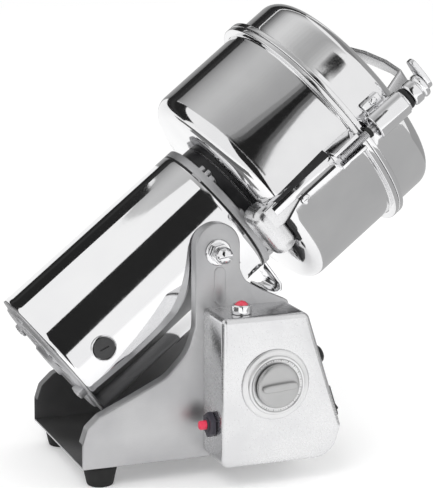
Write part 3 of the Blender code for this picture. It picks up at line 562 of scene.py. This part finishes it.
# ------------------------------------------------------------------ lid clamp
STEM = HEAD @ at(*ROD)
sleeve = lathe(
    [(9.4, 218.2), (10.9, 218.2), (11.5, 217.6), (11.5, 216.4), (10.6, 215.8), (12.3, 215.8), (13, 215.1),
     (13, 180.4), (12.6, 179.7), (9.8, 179.7), (9.4, 180.2)],
    64, soft=0.2,
)
sleeve = make("clamp_tube", sleeve, STEM, CHROME, "lid", ("clamp_sleeve",))
cut(sleeve, (lathe(lid_tool, 160, soft=0), HEAD))
tab = block(-25, 11, -119.4, -106, 184.2, 204.8, 1.4, 3)
tab = make("clamp_tab", tab, HEAD, CHROME, "lid")
cut(tab, (lathe(lid_tool, 160, soft=0), HEAD), (lathe(cylinder(12.5, 170, 230), 48, soft=0), STEM))
screw_at = HEAD @ at(-21, -119.4, 196) @ NEAR
head = lathe(
    [(0, 3.1), (2.2, 2.9), (3.6, 2.1), (4.2, 1.0), (4.2, 0.2), (1.6, 0.2), (1.6, -2.2), (0, -2.2)], 36, soft=0.15
)
head = make("tab_screw", head, screw_at, CHROME, "lid", ("sleeve_screw",))
cut(head, *[(bar, screw_at) for bar in cross(2.4, 0.45, 2.0, 6)])

collar = lathe(
    [(4.25, 223.2), (8.8, 223.2), (10.0, 222.6), (10.7, 221.4), (10.8, 219.4), (10.4, 218.6), (4.25, 218.5)],
    56, soft=0.25,
)
make("collar_ring", collar, STEM, BLACK, "clamp_nut", ("clamp_collar",))
thread = [(0, 236.0), (4.0, 236.0), (4.0, 176.0)]
for k in range(24):
    low = 175.2 - 1.5 * k
    thread += [(3.95, low), (3.35, low - 0.75)]
thread += [(3.95, 138.4), (2.8, 137.0), (0, 137.0)]
make("clamp_thread", lathe(thread, 40, soft=0), STEM, STEEL, "clamp_screw", ("clamp_rod",))
knob = lathe(
    [(0, 242.0), (9.4, 242.0), (11.2, 241.4), (12, 240.2), (12, 237.2), (11.3, 236.3), (10.7, 235.6),
     (10.7, 234.4), (11.3, 233.7), (12, 232.8), (12, 226.2), (11.2, 224.4), (9.6, 223.5), (4.25, 223.5),
     (4.25, 236.3), (0, 236.3)],
    72, soft=0.3,
)
make("clamp_hub", knob, STEM, CHROME, "clamp_screw", ("clamp_knob",))
bar = slab(
    rounded([(-26, -5.6, 5.5), (-26, 5.6, 5.5), (-8, 9.4, 8), (7, 9.4, 8), (7, -9.4, 8), (-8, -9.4, 8)]),
    242.3, 247.3, "XY", 1.1, 3, 40,
)
make("clamp_lever_bar", bar, STEM, CHROME, "clamp_screw", ("clamp_lever",))
boss = lathe([(0, 248.0), (2.6, 247.9), (4.4, 247.2), (4.4, 246), (0, 246)], 36, soft=0.2)
make("lever_boss", boss, STEM, CHROME, "clamp_screw")
grommet = lathe(
    [(4.25, 174.9), (4.9, 174.9), (5.4, 174.3), (5.4, 171.6), (4.9, 171.0), (4.25, 171.0)], 40, soft=0.2
)
make("grommet_ring", grommet, STEM, RUBBER, "clamp_screw", ("rod_grommet",))

tail = bent([(60, 39.9), (95.4, 38.7), (100.4, 35.4), (100.2, 31.5), (97.6, 27.6), (90.8, 23.4)], 3.2, 6)
plate = slab(strip(tail, 3.2), -21.8, 21.8, "XZ", 0.9, 3, 50)
plate = make("tilt_plate", plate, HEAD, CHROME, "head", ("tilt_handle",))
cut(plate, (lathe(cylinder(TUBE_SEAT, 10, 60), 128, soft=0), HEAD))

# ------------------------------------------------------------------ sheet bracket
SLOPE = [
    (-142.4, 0.3, 2), (-142.2, 25, 14), (-137.5, 39.2, 8), (-125.4, 50.4, 10), (-96, 63.7, 30),
    (-58.9, 81.6, 40), (-38, 104.2, 40), (-31.3, 126.4, 20), (-31.0, 150, 0),
]
CROWN = [(u, v, 0) for u, v in arc(-9.0, 202.4, 22.0, 180, 0, 28)]
STEP = [(13.0, 180.0, 6), (17.9, 168.6, 12), (36.0, 157.6, 20), (61.7, 145.7, 5)]
HEEL = [(88.0, 40.0, 30), (88.0, 0.3, 2)]
OUTLINE = rounded(SLOPE + CROWN + STEP + HEEL, 6)
for side, sign in (("near", -1), ("far", 1)):
    face, back = sign * BASE_Y, sign * (BASE_Y - SHEET)
    sheet = slab(OUTLINE, min(face, back), max(face, back))
    outer = [e for e in sheet.edges if all(abs(v.co.y - face) < 0.01 for v in e.verts)]
    bmesh.ops.bevel(sheet, geom=outer, offset=1.3, segments=3, profile=0.5, affect="EDGES", material=-1)
    obj = make(f"arm_sheet_{side}", sheet, BASE, SATIN, "base", ("base_bracket",), angle=50)
    obj.data.materials.append(PAINTED_SHADE_SHEET)
    turn = NEAR if sign < 0 else FAR
    cut(obj, (lathe(cylinder(BORE_5, 70, 95), 40, soft=0), BASE @ at(*PIVOT_AT) @ turn))
    # The arm's inward faces take the darker sheet as painted shade.
    for face_in in obj.data.polygons:
        if face_in.normal.y * sign < -0.7:
            face_in.material_index = 1
    corners = SLOPE[1:] + CROWN + STEP
    line = rounded([(*corners[0][:2], 0)] + corners[1:-1] + [(*corners[-1][:2], 0)], 6)
    centre = []
    for k, spot in enumerate(line):
        here = Vector(spot)
        along = Vector(line[min(k + 1, len(line) - 1)]) - Vector(line[max(k - 1, 0)])
        along.normalize()
        centre.append(tuple(here + Vector((along.y, -along.x)) * 1.0))
    rim_in = sign * (BASE_Y - ARM_DEPTH)
    rim_out = sign * (BASE_Y - 1.2)
    rim = slab(strip(centre, 1.9), min(rim_in, rim_out), max(rim_in, rim_out))
    # The far arm's turned-in edge takes the darker sheet as painted shade.
    rim = make(f"arm_edge_{side}", rim, BASE, PAINTED_SHADE_SHEET if sign > 0 else SATIN, "base",
        angle=50)
floor_sheet = block(-142.1, 87.7, -BASE_Y + 0.6, BASE_Y - 0.6, 0.3, 2.3, 0.6, 2)
sheet = make("floor_sheet", floor_sheet, BASE, SATIN, "base")
sheet.data.materials.append(PAINTED_SHADE_SHEET)
# The floor's upper face takes the darker sheet as painted shade.
for face_in in sheet.data.polygons:
    if face_in.normal.z > 0.7:
        face_in.material_index = 1
rib = slab(rounded([(-13.0, 147, 5.6), (-13.0, 183, 5.6), (-1.6, 183, 5.6), (-1.6, 147, 5.6)], 8),
    -BASE_Y - 0.55, -BASE_Y + 0.5, soft=0.5, segments=3)
make("arm_rib", rib, BASE, SATIN, "base")
for side, x, y in (("near_left", -120, -66), ("far_left", -120, 66), ("right", 72, 0)):
    foot = lathe(
        [(0, -0.3), (13.6, -0.3), (15.8, -0.9), (16.5, -2.4), (15.9, -5.0), (12.8, -19.0), (12.2, -20.4),
         (11, -21), (4, -21), (4, -17), (0, -17)],
        64, soft=0.3,
    )
    make(f"rubber_foot_{side}", foot, BASE @ at(x, y, 0), RUBBER, "base", (f"foot_{side}",))
gland = lathe(
    [(3.6, 12), (5.4, 12), (6.6, 11.2), (8.2, 8), (8.2, 7.2), (9.5, 6.6), (9.5, 0.9), (9.0, 0.3), (6.3, 0.3),
     (6.3, -10), (3.6, -10)],
    48, soft=0.2,
)
make("gland_body", gland, BASE @ at(45, BASE_Y, 40) @ FAR, BLACK, "base", ("cord_gland",))

# ------------------------------------------------------------------ control box
# The box stands 0.3 off the near arm and is 50 deep.
BOX_FRONT, BOX_BACK = -BASE_Y - 50.3, -BASE_Y - 0.3
SLANT_TOP, SLANT_LOW = (61.7, 145.0), (96.4, 33.3)   # (x, z) of the slanted end
along = (Vector(SLANT_LOW) - Vector(SLANT_TOP)).normalized()
out = Vector((-along.y, along.x))
SLANT = math.degrees(math.atan2(-along.x, -along.y))
MID_Y = -111.0                                       # the middle of the box's depth


def box_shape(by, count):
    return rounded([
        (-23.3 + by, 3.0 + by, 8.0), (-23.3 + by, 145.0 - by, 5.0), (61.7 - out.x * by, 145.0 - by, 8.0),
        (96.6 - out.x * by, 32.7 - out.y * by, 8.0), (88.0 - by, 3.0 + by, 24.0),
    ], count)


case = slab(box_shape(0, 9), BOX_FRONT, BOX_BACK)
front = [e for e in case.edges if all(abs(v.co.y - BOX_FRONT) < 0.01 for v in e.verts)]
bmesh.ops.bevel(case, geom=front, offset=5.6, segments=8, profile=0.5, affect="EDGES", clamp_overlap=True,
    material=-1)
case = make("case_shell", case, BASE, BUFFED, "base", ("control_box",), angle=40)
LAMP = BASE @ at(2.0, -118.0, 145.0)
DIAL = BASE @ at(28.6, BOX_FRONT, 79.7) @ NEAR
RESET = BASE @ at(-23.3, MID_Y, 39.8) @ spun("Y", -90)


def on_slant(z):
    """The place on the box's slanted end at height z, with +Z pointing out of it."""
    (top_x, top_z), (low_x, low_z) = SLANT_TOP, SLANT_LOW
    share = (top_z - z) / (top_z - low_z)
    return BASE @ at(top_x + share * (low_x - top_x), MID_Y, z) @ spun("Y", 90 + SLANT)


FUSE, SWITCH = on_slant(96), on_slant(53)
cut(case, (slab(box_shape(2.2, 6), BOX_FRONT + 5.2, BOX_BACK + 5), BASE),
    (slab(box_shape(4.8, 6), BOX_FRONT + 2.2, BOX_FRONT + 8), BASE))
for place, radius in ((LAMP, 6.25), (DIAL, 5.25), (RESET, 7.25), (FUSE, 7.25)):
    cut(case, (lathe(cylinder(radius, -7, 5), 40, soft=0), place))
cut(case, (block(-14, 14, -11, 11, -8, 4), SWITCH))

bezel = lathe(
    [(7.2, 8.4), (7.9, 9.0), (8.8, 8.8), (9.5, 7.9), (9.5, 1.0), (9.1, 0.3), (6, 0.3), (6, -16), (0, -16),
     (0, 3.0), (7.2, 3.0)],
    80, soft=0.15,
)
make("lamp_collar", bezel, LAMP, CHROME, "base", ("lamp_bezel",))
lens = lathe([(0, 12.4)] + arc(0, 5.2, 7.0, 82, 12, 10) + [(6.9, 3.3), (0, 3.3)], 64, soft=0.1)
make("lamp_dome", lens, LAMP, LENS, "base", ("lamp_lens",))

dial = lathe(
    [(5.25, 4.4), (24.6, 4.4), (25.4, 5.2), (26.8, 5.4), (27.7, 4.8), (28.0, 3.6), (28.2, 2.7), (31.8, 2.5),
     (33.1, 1.7), (33.5, 0.5), (5.25, 0.4)],
    128, soft=0.25,
)
make("dial_plate", dial, DIAL, SILVER, "base", ("timer_dial",))
marks = []
for k in range(45):
    start, end, half = (22.9, 24.6, 0.24) if k % 3 == 0 else (23.2, 24.2, 0.14)
    marks.append((block(start, end, -half, half, 4.3, 4.62), spun("Z", -225 - 6 * k)))
make("dial_marks", gather(*marks), DIAL, MARK, "base")
body_of_timer = lathe(
    [(3.25, 6), (5, 6), (5, -2.5), (24, -2.5), (24, -38), (0, -38), (0, -24), (3.25, -24)], 64, soft=0.2
)
make("timer_case", body_of_timer, DIAL, STEEL, "base", ("timer_body",))
knob = lathe(
    [(0, 10.2), (17.6, 10.2), (19.2, 9.9), (20.4, 9.0), (20.9, 7.4), (21.0, 6.5), (20.3, 6.1), (5.4, 6.7),
     (3.0, 6.7), (3.0, -20), (0, -20)],
    128, soft=0.2,
)
make("knob_disc", knob, DIAL, KNOB, "timer_knob", ("timer_knob",))
grip = slab(
    rounded([(-17.2, -2.6, 2.4), (-10, -3.6, 8), (10, -3.6, 8), (17.2, -2.6, 2.4), (17.2, 2.6, 2.4),
             (10, 3.6, 8), (-10, 3.6, 8), (-17.2, 2.6, 2.4)], 6),
    9.6, 14.4, "XY", 1.5, 4, 40,
)
make("knob_bar", grip, DIAL @ spun("Z", 4), KNOB, "timer_knob")

hexnut = slab(hexagon(21.3), 0.4, 6.1, "XY", 0.8, 3)
hexnut = make("button_nut", hexnut, RESET, NUT_BLACK, "base", ("reset_nut",))
cut(hexnut, (lathe(cylinder(7.25, -20, 20), 48, soft=0), RESET))
make("button_case", block(-9, 9, -8, 8, -30, -2.5, 0.8, 2), RESET, BLACK, "base", ("reset_breaker",))
neck = lathe([(4.6, 7.4), (6.4, 7.4), (7.0, 6.7), (7.0, -2.6), (4.6, -2.6)], 48, soft=0.2)
make("button_neck", neck, RESET, NUT_BLACK, "base")
button = lathe([(0, 14.4), (2.6, 14.3), (3.8, 13.7), (4.3, 12.6), (4.3, 0.9), (0, 0.9)], 48, soft=0.2)
make("button_cap", button, RESET, RED, "reset_button", ("reset_button",))

fuse = lathe(
    [(0, 9.9), (3.2, 9.7), (6.0, 8.9), (8.2, 7.2), (9.2, 4.6), (9.6, 3.4), (10.2, 2.6), (10.2, 0.9),
     (9.8, 0.3), (7, 0.3), (7, -24), (0, -24)],
    64, soft=0.2,
)
fuse = make("fuse_cap", fuse, FUSE, BLACK, "base", ("fuse_holder",))
cut(fuse, (block(-6, 6, -0.7, 0.7, 8.6, 14, 0.2, 1), FUSE))
shell = block(-15.5, 15.5, -12.5, 12.5, 0.3, 4.4, 1.3, 4)
shell = make("rocker_frame", shell, SWITCH, BLACK, "base", ("switch_frame",))
cut(shell, (block(-12.4, 12.4, -9.2, 9.2, -9, 9, 0.5, 2), SWITCH))
rocker = slab(
    [(-12.0, -1.0), (-11.9, 1.6), (-11.2, 3.1), (-5, 2.3), (0, 1.9), (5, 2.3), (11.2, 3.1), (11.9, 1.6),
     (12.0, -1.0), (6, -5), (-6, -5)],
    -8.9, 8.9, "XZ", 0.5, 2, 40,
)
make("rocker_paddle", rocker, SWITCH @ at(0, 0, 2.2) @ spun("Y", -10), BLACK, "power_rocker",
    ("switch_rocker",))

# ------------------------------------------------------------------ inner pieces keep their shapes
KEPT = {
    STEEL: ("trunnion_near", "trunnion_far", "bearing_lower", "bearing_upper", "rotor_shaft", "blade_nut"),
    DARK_IRON: ("stator_core", "rotor_core", "carbon_brush_near", "carbon_brush_far"),
    COPPER: ("commutator",),
    BLACK: ("cooling_fan",),
    SATIN: ("shaft_seal",),
    RUBBER: ("lid_seal",),
}
for material, names in KEPT.items():
    for name in names:
        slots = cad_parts[name].data.materials
        slots.clear()
        slots.append(material)

for name, height, reach, lift, degrees, hub_top in (
    ("blade_lower", 70.0, 96, 13, 0, 83.3), ("blade_middle", 86.0, 88, 0, 60, 99.3),
    ("blade_upper", 102.0, 78, -11, 120, 104.4),
):
    path = bent(
        [(-reach, height + lift), (-reach + 16, height), (reach - 16, height), (reach, height + lift)], 6, 5
    )
    plate = slab(strip(path, 2.4), -8.8, 8.8, "XZ")
    leading = []                                     # the edges along each end's leading side
    for edge in plate.edges:
        one, two = (vert.co for vert in edge.verts)
        if abs(one.y - two.y) < 0.01 and abs(one.y) > 8.7 and (one.y > 0) == (one.x + two.x > 0):
            leading.append(edge)
    bmesh.ops.bevel(plate, geom=leading, offset=0.9, segments=1, profile=0.5, affect="EDGES", material=-1)
    knife = make(f"knife_{name[6:]}", plate, HEAD @ spun("Z", degrees), STEEL, "rotor", (name,))
    cut(knife, (lathe(cylinder(BORE_5, 60, hub_top + 6), 40, soft=0), HEAD))
    hub = lathe([(5.25, hub_top), (12, hub_top), (12, height - 2.4), (5.25, height - 2.4)], 56, soft=0.5)
    make(f"hub_{name[6:]}", hub, HEAD, STEEL, "rotor")

# ------------------------------------------------------------------ floor, light and camera


def stage_material(name, colour, glow):
    mat = bpy.data.materials.new(name)
    mat.use_nodes = True
    nodes = mat.node_tree.nodes
    shader = nodes["Principled BSDF"]
    shader.inputs["Base Color"].default_value = (*colour, 1)
    shader.inputs["Roughness"].default_value = 0.9
    shader.inputs["Specular IOR Level"].default_value = 0.0
    shader.inputs["Emission Color"].default_value = (1, 1, 1, 1)
    path = nodes.new("ShaderNodeLightPath")
    seen = path.outputs["Is Camera Ray"]
    for ray in ("Is Glossy Ray", "Is Transmission Ray"):
        most = nodes.new("ShaderNodeMath")
        most.operation = "MAXIMUM"
        mat.node_tree.links.new(seen, most.inputs[0])
        mat.node_tree.links.new(path.outputs[ray], most.inputs[1])
        seen = most.outputs[0]
    level = nodes.new("ShaderNodeMath")
    level.operation = "MULTIPLY"
    level.inputs[1].default_value = glow
    mat.node_tree.links.new(seen, level.inputs[0])
    mat.node_tree.links.new(level.outputs[0], shader.inputs["Emission Strength"])
    return mat


floor = bmesh.new()
bmesh.ops.create_grid(floor, x_segments=1, y_segments=1, size=6.0)
mesh = bpy.data.meshes.new("floor")
floor.to_mesh(mesh)
floor.free()
floor = bpy.data.objects.new("floor", mesh)
bpy.context.scene.collection.objects.link(floor)
mesh.materials.append(stage_material("floor_pale", (0.86, 0.86, 0.86), 0.21))


def tone(level):
    """A material that shines evenly at the level and reflects nothing."""
    mat = bpy.data.materials.new(f"card_{level:.2f}")
    mat.use_nodes = True
    shader = mat.node_tree.nodes["Principled BSDF"]
    shader.inputs["Base Color"].default_value = (0, 0, 0, 1)
    shader.inputs["Specular IOR Level"].default_value = 0.0
    shader.inputs["Roughness"].default_value = 1.0
    shader.inputs["Emission Color"].default_value = (1, 1, 1, 1)
    shader.inputs["Emission Strength"].default_value = level
    return mat


def card(name, corners, level):
    """A studio card seen only in reflections, at places given in metres."""
    mesh = bpy.data.meshes.new(name)
    bm = bmesh.new()
    bm.faces.new([bm.verts.new(spot) for spot in corners])
    bm.to_mesh(mesh)
    bm.free()
    mesh.materials.append(tone(level))
    panel = bpy.data.objects.new(name, mesh)
    bpy.context.scene.collection.objects.link(panel)
    panel.visible_camera = False
    panel.visible_diffuse = False
    panel.visible_shadow = False
    panel.visible_transmission = False


def round_head(degrees, height, distance):
    """A spot in metres, from its angle round the head's axis, its height along it and its distance off it."""
    turn = math.radians(degrees)
    return (HEAD @ Vector((distance * math.cos(turn), distance * math.sin(turn), height))) * MM


STEPS_BETWEEN = 3


def wrap(name, columns, distance):
    """Strips round the head, run on evenly from one (degrees, low, high, tone) to the next."""
    for k, (left, right) in enumerate(zip(columns, columns[1:])):
        for part in range(STEPS_BETWEEN):
            a = [p + (q - p) * part / STEPS_BETWEEN for p, q in zip(left, right)]
            b = [p + (q - p) * (part + 1) / STEPS_BETWEEN for p, q in zip(left, right)]
            corners = [
                round_head(degrees, height, distance)
                for degrees, height in ((a[0], a[1]), (a[0], a[2]), (b[0], b[2]), (b[0], b[1]))
            ]
            card(f"{name}_{k}_{part}", corners, (a[3] + b[3]) / 2)


card(
    "stripe", [round_head(d, h, 640) for d, h in ((-132, -150), (-150, 135), (-113, 135), (-76, -150))], 0.02
)
# The soft black band on the bowl: three black to grey layers, each a little wider than the one in front of it.
for name, tone_here, distance, outline in (
    ("core", 0.015, 615, [
        (-145, 160), (-138, 184), (-136.5, 240), (-136, 300), (-134, 310), (-132, 300), (-130.5, 240),
        (-126, 195), (-119, 172), (-112, 160),
    ]),
    ("mid", 0.10, 620, [
        (-150, 162), (-143, 184), (-140, 240), (-139, 304), (-134, 314), (-129, 302), (-127, 240),
        (-122, 197), (-115, 176), (-108, 162),
    ]),
    ("soft", 0.28, 625, [
        (-154, 162), (-149, 182), (-144, 240), (-142, 306), (-134, 318), (-126, 304), (-123, 240),
        (-117, 199), (-110, 178), (-104, 162),
    ]),
):
    wrap(f"bowl_band_{name}", [(d, 140, h, tone_here) for d, h in outline], distance)
# The short dark patch on the lid, in the same three layers.
for name, tone_here, distance, grow in (
    ("core", 0.02, 615, 0), ("mid", 0.12, 620, 2), ("soft", 0.34, 625, 4),
):
    card(f"lid_patch_{name}", [round_head(d, h, distance) for d, h in (
        (-140 - grow, 316), (-141 - grow, 336 + grow), (-138 - grow / 2, 350 + grow),
        (-134 + grow / 2, 352 + grow), (-131 + grow, 332), (-130.5 + grow, 316),
    )], tone_here)
# The dark band by the left outline, and the greys that follow it towards the middle.
wrap("edge_band", [
    (112, 110, 900, 0.03), (120, -500, 900, 0.02), (127, -500, 900, 0.04), (132, -500, 110, 0.02),
    (152, -500, 110, 0.02),
], 700)
wrap("bowl_grey", [
    (127, 120, 306, 0.10), (133, 120, 306, 0.28), (140, 120, 306, 0.38), (148, 110, 306, 0.47),
    (156, 90, 306, 0.54), (166, 95, 306, 0.60), (180, 110, 306, 0.58),
    (192, 150, 306, 0.50), (202, 150, 306, 0.44), (214, 150, 306, 0.41), (226, 150, 306, 0.41),
], 720)
wrap("lid_grey", [
    (132, 300, 900, 0.05), (140, 300, 900, 0.30), (150, 300, 900, 0.66), (162, 300, 900, 0.78),
    (176, 300, 900, 0.66), (190, 300, 900, 0.50), (202, 300, 900, 0.44),
    (212, 300, 900, 0.60), (220, 300, 900, 0.85),
], 720)
wrap("left_grey", [
    (60, 130, 900, 0.62), (84, 130, 900, 0.50), (104, 130, 900, 0.30), (120, 130, 900, 0.12),
], 720)
CARD_LOW = 0.004                                     # how far a card lies above the floor, in metres
for name, corners, level in (
    ("right_floor", [(x, y, CARD_LOW) for x, y in (
        (0.30, -0.45), (0.46, -0.84), (0.9, -1.0), (1.8, -1.3), (1.8, 1.2), (0.30, 1.2),
    )], 0.50),
    ("right_wall", [(1.2, -0.4, 0.0), (1.2, 1.2, 0.0), (1.2, 1.2, 1.6), (1.2, -0.4, 1.6)], 0.38),
    ("left_wall", [(-0.55, -0.5, 0.0), (-0.55, 0.9, 0.0), (-0.55, 0.9, 0.14), (-0.55, -0.5, 0.14)], 0.16),
    ("left_floor", [(x, y, CARD_LOW) for x, y in (
        (-0.9, -0.2), (-0.28, -0.2), (-0.28, 0.6), (-0.9, 0.6),
    )], 0.24),
    ("ceiling", [(0.6, -0.3, 1.5), (2.0, -0.3, 1.5), (2.0, 1.2, 1.5), (0.6, 1.2, 1.5)], 0.25),
):
    card(name, corners, level)

world = bpy.data.worlds.new("studio")
bpy.context.scene.world = world
world.use_nodes = True
nodes, links = world.node_tree.nodes, world.node_tree.links
sky = nodes["Background"]
path = nodes.new("ShaderNodeLightPath")
coords = nodes.new("ShaderNodeTexCoord")
split = nodes.new("ShaderNodeSeparateXYZ")
links.new(coords.outputs["Generated"], split.inputs[0])
fade = nodes.new("ShaderNodeMapRange")
fade.inputs["From Min"].default_value = -0.3
fade.inputs["From Max"].default_value = 0.9
fade.inputs["To Min"].default_value = 0.62
fade.inputs["To Max"].default_value = 1.0
links.new(split.outputs["Z"], fade.inputs["Value"])
level = fade.outputs["Result"]
for ray in ("Is Camera Ray", "Is Glossy Ray", "Is Transmission Ray"):
    most = nodes.new("ShaderNodeMath")
    most.operation = "MAXIMUM"
    links.new(path.outputs[ray], most.inputs[0])
    links.new(level, most.inputs[1])
    level = most.outputs[0]
sky.inputs["Color"].default_value = (1, 1, 1, 1)
links.new(level, sky.inputs["Strength"])


def softbox(name, place, aim, size, power):
    data = bpy.data.lights.new(name, "AREA")
    data.shape = "RECTANGLE"
    data.size, data.size_y = size
    data.energy = power
    lamp = bpy.data.objects.new(name, data)
    bpy.context.scene.collection.objects.link(lamp)
    lamp.location = place
    lamp.visible_glossy = False
    lamp.rotation_euler = (Vector(aim) - Vector(place)).to_track_quat("-Z", "Y").to_euler()


softbox("key", (-0.9, -1.3, 1.5), (0, 0, 0.2), (0.9, 0.9), 12)
softbox("fill", (1.6, -0.9, 1.0), (0, 0, 0.2), (1.0, 1.4), 6)

# The camera's direction, and its distance in metres.
AZ, EL, FAR_OFF = math.radians(-20.6), math.radians(11.4), 1.8433
back = Vector((math.sin(AZ) * math.cos(EL), -math.cos(AZ) * math.cos(EL), math.sin(EL)))
aim = (Vector((31.9, 26.9, 180.6)) + SHIFT) * MM      # the spot it looks at
camera = bpy.data.cameras.new("camera")
camera.sensor_width = 36.0
camera.sensor_fit = "AUTO"
camera.lens = 136.93
camera.clip_end = 50.0
view = bpy.data.objects.new("camera", camera)
bpy.context.scene.collection.objects.link(view)
view.location = aim + back * FAR_OFF
view.rotation_euler = (-back).to_track_quat("-Z", "Y").to_euler()
bpy.context.scene.camera = view
bpy.context.scene.view_settings.view_transform = "Standard"
